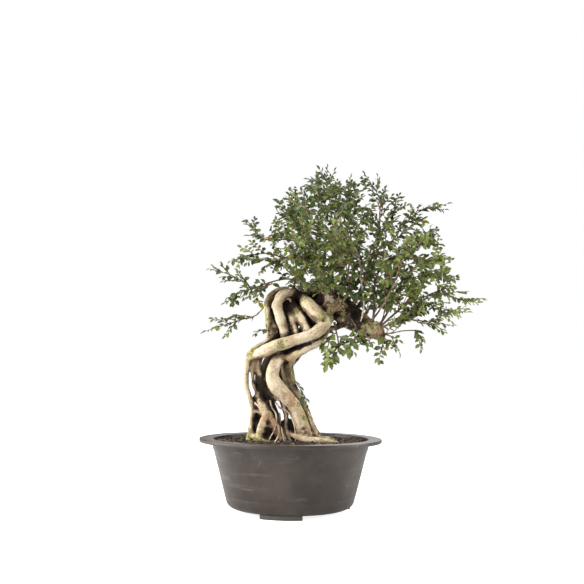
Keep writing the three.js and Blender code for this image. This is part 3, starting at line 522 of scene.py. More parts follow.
PALE_BRANCH_BARK = (0.30, 0.25, 0.17)
TWIG_SPECK = (0.42, 0.36, 0.26)

# Colours of leaves, pot, soil and floor that the settings do not hold
SHADED_LEAF = (0.024, 0.05, 0.018)
MOTTLED_LEAF = (0.02, 0.034, 0.008)
LEAF_VEIN = (0.22, 0.29, 0.09)
LEAF_UNDERSIDE = (0.15, 0.205, 0.055)
CLOUDED_PLASTIC = (0.046, 0.033, 0.024)
SCRATCH = (0.22, 0.195, 0.175)
STAINED_FOOT = (0.047, 0.047, 0.037)
DRIER_EARTH = (0.05, 0.034, 0.022)
WET_CRUMB = (0.02, 0.013, 0.009)
FIBRE_BROWN = (0.22, 0.15, 0.09)
DRY_MOSS = (0.23, 0.19, 0.06)
FLOOR_WHITE = (0.8, 0.8, 0.795)


def colour_setting(name, description, default):
    """A setting for a colour."""
    return FloatVectorProperty(
        name=name, description=description, subtype="COLOR", default=default, min=0, max=1,
    )


class PotSettings(PropertyGroup):
    wall: FloatProperty(
        name="Wall", description="Thickness of the pot's wall", default=0.003, min=0.001, unit="LENGTH",
    )
    lip: FloatProperty(
        name="Lip", description="Height of the rim's outer edge", default=0.0055, min=0.001, unit="LENGTH",
    )
    rim: FloatProperty(
        name="Rim", description="Width of the flat rim", default=0.019, min=0.005, unit="LENGTH",
    )
    plastic: colour_setting("Plastic", "Colour of the moulded plastic", (0.0205, 0.0125, 0.008))
    scuff: colour_setting("Scuff", "Colour where the plastic is rubbed or dusty", (0.17, 0.15, 0.135))


class SoilSettings(PropertyGroup):
    mound: FloatProperty(
        name="Mound", description="How far the soil rises at the trunk", default=0.003, min=0,
        unit="LENGTH",
    )
    crumbs: IntProperty(name="Crumbs", description="Number of loose crumbs", default=1500, min=0)
    earth: colour_setting("Earth", "Colour of the damp soil", (0.020, 0.013, 0.008))
    grit: colour_setting("Grit", "Colour of the dry grit", (0.12, 0.088, 0.06))
    moss: colour_setting("Moss", "Colour of the moss", (0.16, 0.17, 0.035))


class WoodSettings(PropertyGroup):
    voxel: FloatProperty(
        name="Voxel", description="Grain of the joined wood", default=0.0017, min=0.001, unit="LENGTH",
    )
    relief: FloatProperty(
        name="Relief", description="Height of the bark's ridges", default=0.0009, min=0, unit="LENGTH",
    )
    crag: FloatProperty(
        name="Crag", description="Depth of the crevices of the burls", default=0.0046, min=0, unit="LENGTH",
    )
    pale: colour_setting("Pale bark", "Colour of the clean bark", (0.58, 0.49, 0.36))
    weathered: colour_setting("Weathered bark", "Colour of the weathered bark", (0.355, 0.275, 0.16))
    tan: colour_setting("Tan bark", "Colour of new bark under flakes", (0.42, 0.235, 0.12))
    lichen: colour_setting("Lichen", "Colour of the lichen", (0.40, 0.365, 0.165))
    # The darkest colour of the crevices, for dirt and for painted shade where the wood is hidden
    dirt_and_shade: colour_setting("Dirt", "Colour of the dirt in the crevices", (0.013, 0.008, 0.005))


class FoliageSettings(PropertyGroup):
    leaf_length: FloatProperty(
        name="Leaf length", description="Length of a common leaf", default=0.0118, min=0.002, unit="LENGTH",
    )
    leaf_gap: FloatProperty(
        name="Leaf gap", description="Distance between leaves on a shoot", default=0.0043, min=0.002,
        unit="LENGTH",
    )
    shoot_gap: FloatProperty(
        name="Shoot gap", description="Distance between shoots in the crown", default=0.0178, min=0.008,
        unit="LENGTH",
    )
    # Deep green also stands for the painted shade in the tint
    deep: colour_setting("Deep green", "Colour of the old leaves", (0.027, 0.045, 0.010))
    fresh: colour_setting("Fresh green", "Colour of the young leaves", (0.19, 0.23, 0.046))
    yellow: colour_setting("Yellow", "Colour of a turning leaf", (0.55, 0.50, 0.06))
    brown: colour_setting("Brown", "Colour of a dead leaf", (0.30, 0.15, 0.07))
    twig: colour_setting("Twig", "Colour of the twigs", (0.115, 0.068, 0.042))


class StageSettings(PropertyGroup):
    distance: FloatProperty(
        name="Distance", description="How far the camera stands from the pot's axis", default=1.1,
        unit="LENGTH",
    )
    height: FloatProperty(
        name="Height", description="Height of the camera", default=0.196, unit="LENGTH",
    )
    tilt: FloatProperty(
        name="Tilt", description="How far the camera looks up", default=0.1355, subtype="ANGLE",
    )
    roll: FloatProperty(
        name="Roll", description="How far the camera leans", default=0.0092, subtype="ANGLE",
    )
    lens: FloatProperty(name="Lens", description="Focal length in millimetres", default=41.52, min=1)
    light: FloatProperty(name="Light", description="Power of the main light in watts", default=60, min=0)


class BonsaiSettings(PropertyGroup):
    pot: PointerProperty(type=PotSettings)
    soil: PointerProperty(type=SoilSettings)
    wood: PointerProperty(type=WoodSettings)
    foliage: PointerProperty(type=FoliageSettings)
    stage: PointerProperty(type=StageSettings)


def settings():
    """The settings of all pieces, which the scene holds."""
    return bpy.context.scene.bonsai


# Shader nodes

def opaque(colour):
    """A colour with its fourth value, unless it is a socket."""
    return colour if isinstance(colour, bpy.types.NodeSocket) else (*colour[:3], 1.0)


def add_node(tree, kind, inputs=None, **values):
    """A shader node with its values set and its inputs linked or filled."""
    node = tree.nodes.new("ShaderNode" + kind)
    for key, value in values.items():
        setattr(node, key, value)
    for key, value in (inputs or {}).items():
        if isinstance(value, bpy.types.NodeSocket):
            tree.links.new(value, node.inputs[key])
        else:
            node.inputs[key].default_value = value
    return node


class Finish:
    """A material in the making, on which coats of colour are laid one by one."""

    def __init__(self, name):
        self.material = bpy.data.materials.new(name)
        self.material.use_nodes = True
        self.tree = self.material.node_tree
        self.tree.nodes.clear()
        output = add_node(self.tree, "OutputMaterial")
        self.shader = add_node(self.tree, "BsdfPrincipled")
        self.tree.links.new(self.shader.outputs["BSDF"], output.inputs["Surface"])
        self.place = add_node(self.tree, "TexCoord").outputs["Object"]
        self.base = None

    def attribute(self, name):
        """The value of a mesh attribute."""
        return add_node(self.tree, "Attribute", attribute_name=name).outputs["Fac"]

    def height_up(self):
        """How high a point lies."""
        return add_node(self.tree, "SeparateXYZ", {"Vector": self.place}).outputs["Z"]

    def stretched(self, scale):
        """The object's coordinates scaled along each axis."""
        return add_node(self.tree, "Mapping", {"Vector": self.place, "Scale": scale}).outputs["Vector"]

    def grain(self, scale, detail=3.0, roughness=0.5, distortion=0.0, over=None):
        """A noise value over the object's coordinates or over others."""
        return add_node(self.tree, "TexNoise", {
            "Vector": self.place if over is None else over, "Scale": scale, "Detail": detail,
            "Roughness": roughness, "Distortion": distortion,
        }).outputs["Fac"]

    def cells(self, over, feature):
        """A distance in a pattern of cells."""
        node = add_node(self.tree, "TexVoronoi", {"Vector": over, "Scale": 1.0}, feature=feature)
        return node.outputs["Distance"]

    def step(self, value, low, high):
        """0 below low, 1 above high and smooth between."""
        return add_node(
            self.tree, "MapRange", {"Value": value, "From Min": low, "From Max": high},
            interpolation_type="SMOOTHSTEP", clamp=True,
        ).outputs["Result"]

    def spread(self, value, least, most, low=0.0, high=1.0):
        """Least at low, most at high and even between."""
        inputs = {"Value": value, "From Min": low, "From Max": high, "To Min": least, "To Max": most}
        return add_node(self.tree, "MapRange", inputs).outputs["Result"]

    def maths(self, operation, first, second=0.0, clamp=False):
        """One arithmetic step on two values."""
        node = add_node(self.tree, "Math", {0: first, 1: second}, operation=operation, use_clamp=clamp)
        return node.outputs["Value"]

    def plus(self, first, second):
        """The sum of two values."""
        return self.maths("ADD", first, second)

    def times(self, first, second):
        """The product of two values."""
        return self.maths("MULTIPLY", first, second)

    def blend(self, factor, first, second):
        """The colour between two colours, which are sockets or plain values."""
        inputs = {"Factor": factor, 6: opaque(first), 7: opaque(second)}
        return add_node(self.tree, "Mix", inputs, data_type="RGBA", clamp_factor=True).outputs[2]

    def coat(self, colour, mask=None, share=1.0):
        """Lays a colour where a mask is, at a share of its strength; the first has no mask."""
        if share != 1.0:
            mask = self.times(mask, share)
        self.base = opaque(colour) if mask is None else self.blend(mask, self.base, colour)

    def feed(self, name, value):
        """Sets or links an input of the shader."""
        if isinstance(value, bpy.types.NodeSocket):
            self.tree.links.new(value, self.shader.inputs[name])
        else:
            self.shader.inputs[name].default_value = value

    def emboss(self, height, distance, strength=1.0):
        """Bumps the surface by a height."""
        inputs = {"Strength": strength, "Distance": distance, "Height": height}
        self.feed("Normal", add_node(self.tree, "Bump", inputs).outputs["Normal"])

    def done(self, roughness, specular=0.5):
        """The material with its coats and its gloss."""
        self.feed("Base Color", self.base)
        self.feed("Roughness", roughness)
        self.feed("Specular IOR Level", specular)
        return self.material


def bark_material():
    """Pale root bark with lichen, tan patches, dirt and painted shade in its crevices and rotten hollows.
    """
    wood = settings().wood
    bark = Finish("root_bark")
    along = add_node(bark.tree, "Attribute", attribute_name="grain").outputs["Vector"]
    cloudy = bark.grain(42, 5, 0.6)
    patchy = bark.grain(150, 6, 0.7, 0.4)
    speckle = bark.grain(430, 4, 0.7)
    streak = bark.grain(1.6, 5, 0.6, 0.3, along)
    old = bark.attribute("old")
    tone = bark.plus(bark.times(cloudy, 0.6), bark.times(streak, 0.42))
    bark.coat(wood.pale)
    bark.coat(wood.weathered, bark.step(tone, 0.40, 0.62))
    bark.coat(ROSY_BARK, bark.step(bark.grain(26, 2), 0.5, 0.68), 0.35)
    low = bark.times(bark.step(bark.height_up(), 0.19, 0.12), bark.step(patchy, 0.4, 0.6))
    bark.coat(EARTHY_BARK, low, 0.7)
    bark.coat(STAINED_BARK, bark.step(patchy, 0.53, 0.64), 0.45)
    bark.coat(FLECKED_BARK, bark.step(speckle, 0.56, 0.68), 0.5)
    pores = bark.cells(bark.stretched((230, 230, 190)), "F1")
    dots = bark.times(bark.step(pores, 0.3, 0.14), bark.step(cloudy, 0.4, 0.52))
    bark.coat(PORE_BROWN, dots, 0.8)
    aged = bark.blend(bark.step(patchy, 0.44, 0.53), OLD_BARK, OLD_CRACK)
    aged = bark.blend(bark.times(bark.step(cloudy, 0.53, 0.6), 0.8), aged, OLD_PALE_BARK)
    bark.coat(aged, bark.step(old, 0.15, 0.7), 0.92)
    bare = bark.plus(bark.attribute("bare"), patchy)
    bark.coat(BARE_BARK, bark.step(bare, 0.85, 1.3), 0.75)
    tan_patch = bark.plus(bark.attribute("tan"), bark.times(patchy, 0.9))
    tans = bark.blend(bark.step(speckle, 0.42, 0.6), wood.tan, DARK_TAN)
    bark.coat(tans, bark.step(tan_patch, 0.7, 1.3), 0.75)
    growth = bark.plus(bark.attribute("moss"), bark.times(patchy, 0.7))
    bark.coat(GREEN_FILM, bark.step(growth, 0.36, 0.8), 0.5)
    greens = bark.blend(bark.step(speckle, 0.38, 0.52), wood.lichen, DARK_LICHEN)
    bark.coat(greens, bark.step(growth, 0.62, 1.2), 0.85)
    # Painted shade with dirt: brown and then near black where the wood is hidden between roots and limbs
    crevice_shade_and_dirt = bark.plus(bark.attribute("crevice_shade_and_dirt"), bark.times(cloudy, 0.2))
    bark.coat(CREVICE_SHADE_BROWN, bark.step(crevice_shade_and_dirt, 0.22, 0.46), 0.72)
    bark.coat(wood.dirt_and_shade, bark.step(crevice_shade_and_dirt, 0.38, 0.68), 0.97)
    rot = bark.plus(bark.attribute("rot"), bark.times(patchy, 0.4))
    blacks = bark.blend(bark.step(speckle, 0.5, 0.64), ROT_BLACK, ROT_BROWN)
    bark.coat(blacks, bark.step(rot, 0.5, 0.8), 0.95)
    height = bark.plus(bark.times(streak, 0.8), bark.times(speckle, 0.45))
    height = bark.plus(height, bark.times(bark.times(patchy, old), 2.2))
    height = bark.maths("SUBTRACT", height, bark.times(bark.step(pores, 0.3, 0.1), 0.4))
    bark.emboss(height, 0.0013, 0.95)
    return bark.done(bark.spread(speckle, 0.66, 0.92), 0.17)


def twig_material(name, colour):
    """Brown bark of branches, twigs and hairs with paler rings and specks."""
    twig = Finish(name)
    cloudy = twig.grain(95, 4, 0.6)
    speckle = twig.grain(620, 3, 0.6)
    twig.coat([min(1.0, value * 2.1) for value in colour])
    twig.coat([value * 0.45 for value in colour], twig.step(cloudy, 0.36, 0.66))
    twig.coat(TWIG_SPECK, twig.step(speckle, 0.6, 0.7), 0.5)
    twig.emboss(twig.plus(cloudy, speckle), 0.0005, 0.7)
    return twig.done(0.78, 0.3)


def leaf_material():
    """Green leaves with a pale midrib, side veins, a dull underside and a few turned leaves."""
    foliage = settings().foliage
    leaf = Finish("elm_leaf")
    chart = add_node(leaf.tree, "UVMap", uv_map="UVMap").outputs["UV"]
    parts = add_node(leaf.tree, "SeparateXYZ", {"Vector": chart})
    aside = leaf.maths("ABSOLUTE", leaf.maths("SUBTRACT", parts.outputs["X"], 0.5))
    tint = leaf.attribute("tint")
    leaf.coat(foliage.deep)
    # The tint carries painted shade as well as freshness, so low tints give the deep and shaded greens
    leaf.coat(foliage.fresh, tint)
    leaf.coat(SHADED_LEAF, leaf.step(tint, 0.16, -0.1))
    turned = leaf.attribute("turned")
    leaf.coat(foliage.yellow, leaf.maths("MULTIPLY", turned, 2.0, True))
    leaf.coat(foliage.brown, leaf.maths("SUBTRACT", leaf.times(turned, 2.0), 1.0, True))
    leaf.coat(MOTTLED_LEAF, leaf.step(leaf.grain(260, 3), 0.4, 0.75), 0.35)
    ribs = leaf.plus(leaf.times(parts.outputs["Y"], 56.0), leaf.times(aside, -34.0))
    veins = leaf.step(leaf.maths("SINE", ribs), 0.82, 1.0)
    lines = leaf.maths("MAXIMUM", leaf.times(veins, 0.35), leaf.step(aside, 0.075, 0.02))
    leaf.coat(LEAF_VEIN, lines, 0.38)
    under = leaf.attribute("underside")
    leaf.coat(LEAF_UNDERSIDE, under, 0.35)
    leaf.emboss(leaf.times(lines, -1.0), 0.0002, 0.6)
    return leaf.done(leaf.spread(under, 0.4, 0.7), 0.25)


def plastic_material():
    """Dull dark plastic with rubbed streaks, faint scratches and dust."""
    pot = settings().pot
    shell = Finish("pot_plastic")
    cloudy = shell.grain(16, 5, 0.6, 0.3)
    smear = shell.grain(1.0, 5, 0.65, 0.6, shell.stretched((9, 9, 60)))
    speckle = shell.grain(900, 2, 0.6)
    shell.coat(pot.plastic)
    shell.coat(CLOUDED_PLASTIC, shell.step(cloudy, 0.35, 0.7))
    shell.coat(pot.scuff, shell.step(smear, 0.56, 0.8), 0.5)
    lines = shell.cells(shell.stretched((26, 26, 70)), "DISTANCE_TO_EDGE")
    broken = shell.times(shell.step(shell.grain(48, 3), 0.52, 0.6), shell.step(cloudy, 0.48, 0.6))
    shell.coat(SCRATCH, shell.times(shell.step(lines, 0.014, 0.0), broken), 0.5)
    shell.coat(STAINED_FOOT, shell.step(shell.height_up(), 0.0075, 0.0055))
    shell.coat(pot.scuff, shell.step(speckle, 0.62, 0.74), 0.25)
    shell.emboss(shell.plus(shell.times(cloudy, 0.6), shell.times(speckle, 0.14)), 0.0012, 0.6)
    return shell.done(shell.spread(smear, 0.36, 0.54, 0.3, 0.8), 0.42)


def earth_material():
    """Damp dark soil with dry grit in it."""
    soil = settings().soil
    earth = Finish("earth")
    coarse = earth.grain(170, 5, 0.7)
    fine = earth.grain(700, 4, 0.7)
    earth.coat(soil.earth)
    earth.coat(DRIER_EARTH, earth.step(coarse, 0.4, 0.68))
    earth.coat(soil.grit, earth.step(fine, 0.6, 0.72), 0.7)
    earth.emboss(earth.plus(coarse, fine), 0.002)
    return earth.done(0.95, 0.2)


def crumb_material():
    """Loose crumbs that differ in colour, from wet earth to pale grit."""
    soil = settings().soil
    crumbs = Finish("crumbs")
    shade = crumbs.attribute("shade")
    fine = crumbs.grain(520, 4, 0.7)
    crumbs.coat(soil.earth)
    crumbs.coat(soil.grit, crumbs.step(shade, 0.35, 1.0))
    crumbs.coat(WET_CRUMB, crumbs.step(fine, 0.5, 0.7), 0.5)
    crumbs.emboss(fine, 0.0008, 0.9)
    return crumbs.done(0.92)


def moss_material():
    """Yellow-green moss, darker or lighter at random from point to point, with drier patches."""
    green = settings().soil.moss
    moss = Finish("moss")
    cloudy = moss.grain(130, 4, 0.6)
    moss.coat([value * 0.28 for value in green])
    moss.coat(green, moss.attribute("shade"))
    moss.coat(DRY_MOSS, moss.step(cloudy, 0.45, 0.65), 0.6)
    moss.emboss(cloudy, 0.0006, 0.6)
    return moss.done(0.9, 0.2)


# Meshes

def mesh_of(name, bm):
    """A mesh that takes over a drawn one."""
    mesh = bpy.data.meshes.new(name)
    bm.to_mesh(mesh)
    bm.free()
    return mesh


def put_in_scene(name, data):
    """An object in the scene for a mesh, a lamp or a camera."""
    thing = bpy.data.objects.new(name, data)
    bpy.context.scene.collection.objects.link(thing)
    return thing


def finish_piece(name, bm, materials, replaced=()):
    """Makes a piece of a finished mesh: sets it in the frame and lets it ride there."""
    bmesh.ops.transform(bm, matrix=TO_FRAME, verts=bm.verts)
    mesh = mesh_of(name, bm)
    for material in materials:
        mesh.materials.append(material)
    piece = put_in_scene(name, mesh)
    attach(piece, "root")
    if replaced:
        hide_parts(*replaced)


def with_modifier(bm, kind, **values):
    """The mesh after a modifier of a kind with its values."""
    mesh = mesh_of("draft", bm)
    draft = put_in_scene("draft", mesh)
    modifier = draft.modifiers.new(kind.lower(), kind)
    for key, value in values.items():
        setattr(modifier, key, value)
    shaped = bpy.data.meshes.new_from_object(draft.evaluated_get(bpy.context.evaluated_depsgraph_get()))
    result = bmesh.new()
    result.from_mesh(shaped)
    bpy.data.objects.remove(draft)
    bpy.data.meshes.remove(mesh)
    bpy.data.meshes.remove(shaped)
    return result


def joined(parts):
    """One mesh of many small ones, which is faster than to draw them all in one."""
    whole = bmesh.new()
    for part in parts:
        mesh = mesh_of("part", part)
        whole.from_mesh(mesh)
        bpy.data.meshes.remove(mesh)
    return whole


def make_smooth(faces):
    """Shades faces as parts of one rounded surface."""
    for face in faces:
        face.smooth = True


def soften(bm, factor):
    """Draws each vertex of a mesh towards its neighbours."""
    bmesh.ops.smooth_vert(
        bm, verts=bm.verts, factor=factor, use_axis_x=True, use_axis_y=True, use_axis_z=True,
    )


def drawn_out(bm, root):
    """The new face at the end of what is drawn out of a face, which itself stays."""
    drawn = bmesh.ops.extrude_face_region(bm, geom=[root], use_keep_orig=True)["geom"]
    return next(item for item in drawn if isinstance(item, bmesh.types.BMFace))


def any_way(rng, lowest=-1.0):
    """A vector in any direction, or in none that points steeply down."""
    return Vector((rng.uniform(-1, 1), rng.uniform(-1, 1), rng.uniform(lowest, 1)))


def swept(stations, stride, sides):
    """A mesh of one closed tube along stations."""
    bm = bmesh.new()
    sweep(bm, smooth_path(stations, stride), sides)
    return bm


def smooth_path(stations, stride):
    """Samples of place and radius along the smooth path through stations, about stride apart."""
    points = [Vector(station) for station in stations]
    points.insert(0, 2 * points[0] - points[1])
    points.append(2 * points[-1] - points[-2])
    samples = []
    for before, first, second, after in zip(points, points[1:], points[2:], points[3:]):
        spans = [(b - a).xyz.length ** 0.5 for a, b in ((before, first), (first, second), (second, after))]
        lead = (
            (first - before) / spans[0] - (second - before) / (spans[0] + spans[1])
            + (second - first) / spans[1]
        )
        trail = (
            (second - first) / spans[1] - (after - first) / (spans[1] + spans[2])
            + (after - second) / spans[2]
        )
        count = max(1, round((second - first).xyz.length / stride))
        for k in range(count):
            s = k / count
            samples.append(
                first * (2 * s ** 3 - 3 * s ** 2 + 1) + lead * spans[1] * (s ** 3 - 2 * s ** 2 + s)
                + second * (3 * s ** 2 - 2 * s ** 3) + trail * spans[1] * (s ** 3 - s ** 2)
            )
    samples.append(points[-2])
    return samples


def frames_along(samples):
    """A frame for each sample, with its third axis along the path and no needless turn."""
    frames = []
    normal = None
    for k, sample in enumerate(samples):
        ahead = samples[min(k + 1, len(samples) - 1)]
        behind = samples[max(k - 1, 0)]
        tangent = (ahead - behind).xyz.normalized()
        if normal is None:
            normal = tangent.orthogonal()
        normal = (normal - tangent * normal.dot(tangent)).normalized()
        across = tangent.cross(normal)
        turn = Matrix((normal, across, tangent)).transposed().to_4x4()
        frames.append(Matrix.Translation(sample.xyz) @ turn)
    return frames


def sweep(bm, samples, sides):
    """Adds a closed tube along samples: a round face drawn out from each place to the next."""
    rings = [
        place @ Matrix.Diagonal((max(sample.w, 0.2), max(sample.w, 0.2), 1, 1))
        for place, sample in zip(frames_along(samples), samples)
    ]
    circle = bmesh.ops.create_circle(bm, cap_ends=True, segments=sides, radius=1, matrix=rings[0])
    root = circle["verts"][0].link_faces[0]
    cap = drawn_out(bm, root)
    faces = {root}
    for before, after in zip(rings, rings[1:]):
        if before is not rings[0]:
            cap = bmesh.ops.extrude_discrete_faces(bm, faces=[cap])["faces"][0]
        bmesh.ops.transform(bm, matrix=after @ before.inverted(), verts=cap.verts)
        faces.update(face for vert in cap.verts for face in vert.link_faces)
    whole = [face for face in faces if face.is_valid]
    bmesh.ops.recalc_face_normals(bm, faces=whole)
    make_smooth(whole)


def reach_of(point, spots):
    """How strongly spots act at a point, from 0 to 1, with ragged edges."""
    best = 0.0
    for middle, reach in spots:
        apart = (point - Vector(middle)).length / reach
        if apart < 1.9:
            ragged = apart + 0.55 * noise.noise(point / 7) + 0.3 * noise.noise(point / 3)
            best = max(best, min(1.0, (1.5 - ragged) / 1.1))
    return best


def depth_in(point, middle, radii):
    """How far a point lies from the middle of an ellipsoid, which is 1 at its surface."""
    return Vector((point[i] - middle[i]) / radii[i] for i in range(3)).length


def batches(items, size):
    """Items in short lists."""
    items = list(items)
    return [items[k:k + size] for k in range(0, len(items), size)]


class Guides:
    """The middle lines of the wood, which give each point of it the grain of its limb."""

    def __init__(self, limbs):
        self.frames = []
        self.spans = []
        self.limbs = []
        for index, stations in enumerate(limbs):
            samples = smooth_path(stations, 3)
            walked = 0.0
            for k, place in enumerate(frames_along(samples)):
                walked += (samples[k] - samples[max(k - 1, 0)]).xyz.length
                self.frames.append(place.inverted())
                self.spans.append(walked)
                self.limbs.append(index)
        self.tree = KDTree(len(self.frames))
        for k, place in enumerate(self.frames):
            self.tree.insert(place.inverted().translation, k)
        self.tree.balance()

    def grain_at(self, point):
        """Where a point lies across and along its limb, and the limb's number."""
        _, k, _ = self.tree.find(point)
        across = self.frames[k] @ point
        return Vector((across.x, across.y, self.spans[k] + across.z)), self.limbs[k]


def hidden_share(tree, place, normal, directions, reach):
    """The share of directions in which a point of a surface sees the surface near it."""
    start = place + normal * 0.6
    hits = 0
    for direction in directions:
        ray = direction if direction.dot(normal) > 0 else -direction
        hits += tree.ray_cast(start, ray, reach)[0] is not None
    return hits / len(directions)


def even_directions(count):
    """Directions spread evenly over a sphere."""
    directions = []
    for k in range(count):
        height = 1 - 2 * (k + 0.5) / count
        turn = k * math.pi * (3 - math.sqrt(5))
        across = math.sqrt(1 - height * height)
        directions.append(Vector((across * math.cos(turn), across * math.sin(turn), height)))
    return directions


def age_at(point, on_log):
    """How old the wood is at a point, from 0 to 1: the log, the burls and the upper lumps are old."""
    old = 0.0
    if point.z > OLD_WOOD_FROM:
        old = max((1.45 - depth_in(point, *ball)) / 0.4 for ball in SWELLINGS)
    if on_log:
        old = max(old, 0.85)
    return max(0.0, min(1.0, old)) * (KNOB_ROUGHNESS if point.x > KNOB_FROM else 1.0)


def cragginess(point):
    """How far old wood stands out at a point: folded, and sunk along its cracks."""
    folds = noise.turbulence(point / 12, 4, True) - 0.7
    near = noise.voronoi(point / 9 + Vector((0.3, 0.1, 0.2)) * noise.noise(point / 5))[0]
    crack = max(0.0, 1 - (near[1] - near[0]) / 0.16)
    return folds - 0.55 * crack


def knot_relief(point):
    """How far knots raise the bark round them and sink it in their middle."""
    move = 0.0
    for middle, radius in KNOTS:
        apart = (point - Vector(middle)).length
        if apart < radius * 2.5:
            ring = 1.1 * math.exp(-((apart - radius) / 1.3) ** 2)
            move += ring - 1.6 * math.exp(-((apart / radius) ** 2) * 2.2)
    return move


def model_wood():
    """The roots, limbs and burls as one grown mesh with the relief of its bark."""
    wood = settings().wood
    limbs = [*ROOTS.values(), *TIES.values(), *LIMBS.values()]
    balls = bmesh.new()
    for middle, radii in SWELLINGS:
        matrix = Matrix.Translation(middle) @ Matrix.Diagonal((*radii, 1))
        bmesh.ops.create_icosphere(balls, subdivisions=3, radius=1, matrix=matrix)
    bm = joined([swept(stations, 4, 14) for stations in limbs] + [balls])
    bm = with_modifier(bm, "REMESH", mode="VOXEL", voxel_size=wood.voxel / MM, use_smooth_shade=True)
    for _ in range(3):
        soften(bm, 0.5)
    bm.normal_update()
    guides = Guides(limbs)
    relief = wood.relief / MM
    crag = wood.crag / MM
    grain_layer = bm.verts.layers.float_vector.new("grain")
    old_layer = bm.verts.layers.float.new("old")
    moves = []
    for vert in bm.verts:
        point = vert.co.copy()
        across, limb = guides.grain_at(point)
        offset = Vector((limb * 7.3, limb * 3.1, limb * 5.7))
        fibre = Vector((across.x / 4.2, across.y / 4.2, across.z / 34)) + offset
        wrinkle = Vector((across.x / 7, across.y / 7, across.z / 3.4)) + offset
        move = relief * (noise.noise(fibre) + 0.45 * noise.noise(wrinkle))
        move += relief * 1.4 * noise.noise(point / 17 + offset)
        old = age_at(point, limb == len(limbs) - 1)
        vert[old_layer] = old
        if old > 0:
            move += crag * old * cragginess(point)
        move += knot_relief(point)
        vert[grain_layer] = fibre
        moves.append(vert.normal * move)
    for vert, move in zip(bm.verts, moves):
        vert.co += move
    for middle, radii in HOLLOWS:
        for vert in bm.verts:
            side = math.hypot((vert.co.x - middle[0]) / radii[0], (vert.co.z - middle[2]) / radii[2])
            if side < 1 and depth_in(vert.co, middle, radii) < 1:
                vert.co.y = middle[1] + radii[1] * math.sqrt(1 - side * side)
    soften(bm, 0.3)
    bm.normal_update()
    return bm


def shade_of_back(point, normal):
    """How much painted shade darkens the faces of the back roots that look forward, between the roots
    before them.
    """
    behind = min(1.0, max(0.0, (point.y - 12) / 10))
    return 0.42 * max(0.0, -normal.y) * behind * (point.z < 320)


def paint_wood(bm):
    """Stores where the wood is hidden, as painted shade with the dirt, and where it is mossy, tan, bare or
    rotten.
    """
    tree = BVHTree.FromBMesh(bm)
    directions = even_directions(16)
    names = ("crevice_shade_and_dirt", "moss", "tan", "rot", "bare")
    layers = {name: bm.verts.layers.float.new(name) for name in names}
    for vert in bm.verts:
        point = vert.co
        # Painted shade: how much nearby wood each point sees, added to the dirt spots and the shade of the
        # back roots
        hidden = hidden_share(tree, point, vert.normal, directions, 32)
        dirt_and_shade = reach_of(point, DIRT_AND_SHADE_SPOTS) * 0.5
        sky = 0.12 * max(0.0, vert.normal.z)
        bare = reach_of(point, PALE_SPOTS)
        crevice_shade_and_dirt = min(1.0, hidden + dirt_and_shade + shade_of_back(point, vert.normal))
        vert[layers["crevice_shade_and_dirt"]] = max(0.0, crevice_shade_and_dirt - 0.3 * bare)
        vert[layers["bare"]] = bare
        vert[layers["moss"]] = reach_of(point, MOSS_SPOTS) * 0.8 + sky
        vert[layers["tan"]] = reach_of(point, TAN_SPOTS)
        rot = reach_of(point, ROT_SPOTS)
        for middle, radius in KNOTS:
            rot = max(rot, 1.25 - (point - Vector(middle)).length / (radius * 0.55))
        vert[layers["rot"]] = max(0.0, rot)


def scatter_moss(bm, rng):
    """Places on the wood's mossy skin, as point and normal."""
    layer = bm.verts.layers.float["moss"]
    crevice_shade_and_dirt = bm.verts.layers.float["crevice_shade_and_dirt"]
    spots = []
    for vert in bm.verts:
        fertile = vert[layer] + 0.5 * noise.noise(vert.co / 6)
        if fertile > 0.75 and vert[crevice_shade_and_dirt] < 0.75 and rng.random() < 0.16:
            spots.append((vert.co.copy(), vert.normal.copy()))
    return spots


class BONSAI_OT_grow_wood(Operator):
    """Grow the roots, limbs and burls, with the moss that sits on them"""

    bl_idname = "bonsai.grow_wood"
    bl_label = "Grow wood"

    def execute(self, context):
        bm = model_wood()
        paint_wood(bm)
        spots = scatter_moss(bm, random.Random(11))
        finish_piece("wood", bm, [bark_material()], ["trunk"])
        hairs = joined([swept(stations, 2.5, 7) for stations in HAIRS.values()])
        finish_piece("root_hairs", hairs, [twig_material("hair_bark", HAIR_BARK)])
        add_moss("bark_moss", spots, random.Random(12), 0.9)
        return {"FINISHED"}


def add_moss(name, spots, rng, size):
    """A piece of moss: a tuft of short pointed leaves at each spot."""
    parts = []
    for batch in batches(spots, 24):
        bm = bmesh.new()
        shade = bm.verts.layers.float.new("shade")
        for point, normal in batch:
            tone = rng.random()
            for _ in range(3):
                lean = normal + any_way(rng, -0.5) * 0.7
                turn = lean.normalized().to_track_quat("Z", "Y").to_matrix().to_4x4()
                tall = size * rng.uniform(0.9, 2.2)
                matrix = Matrix.Translation(point + normal * (tall * 0.3)) @ turn
                made = bmesh.ops.create_cone(
                    bm, cap_ends=True, segments=3, radius1=size * 0.42, radius2=0.06, depth=tall,
                    matrix=matrix,
                )["verts"]
                for vert in made:
                    vert[shade] = min(1.0, 0.2 + 0.5 * tone + 0.3 * rng.random())
        parts.append(bm)
    finish_piece(name, joined(parts), [moss_material()])


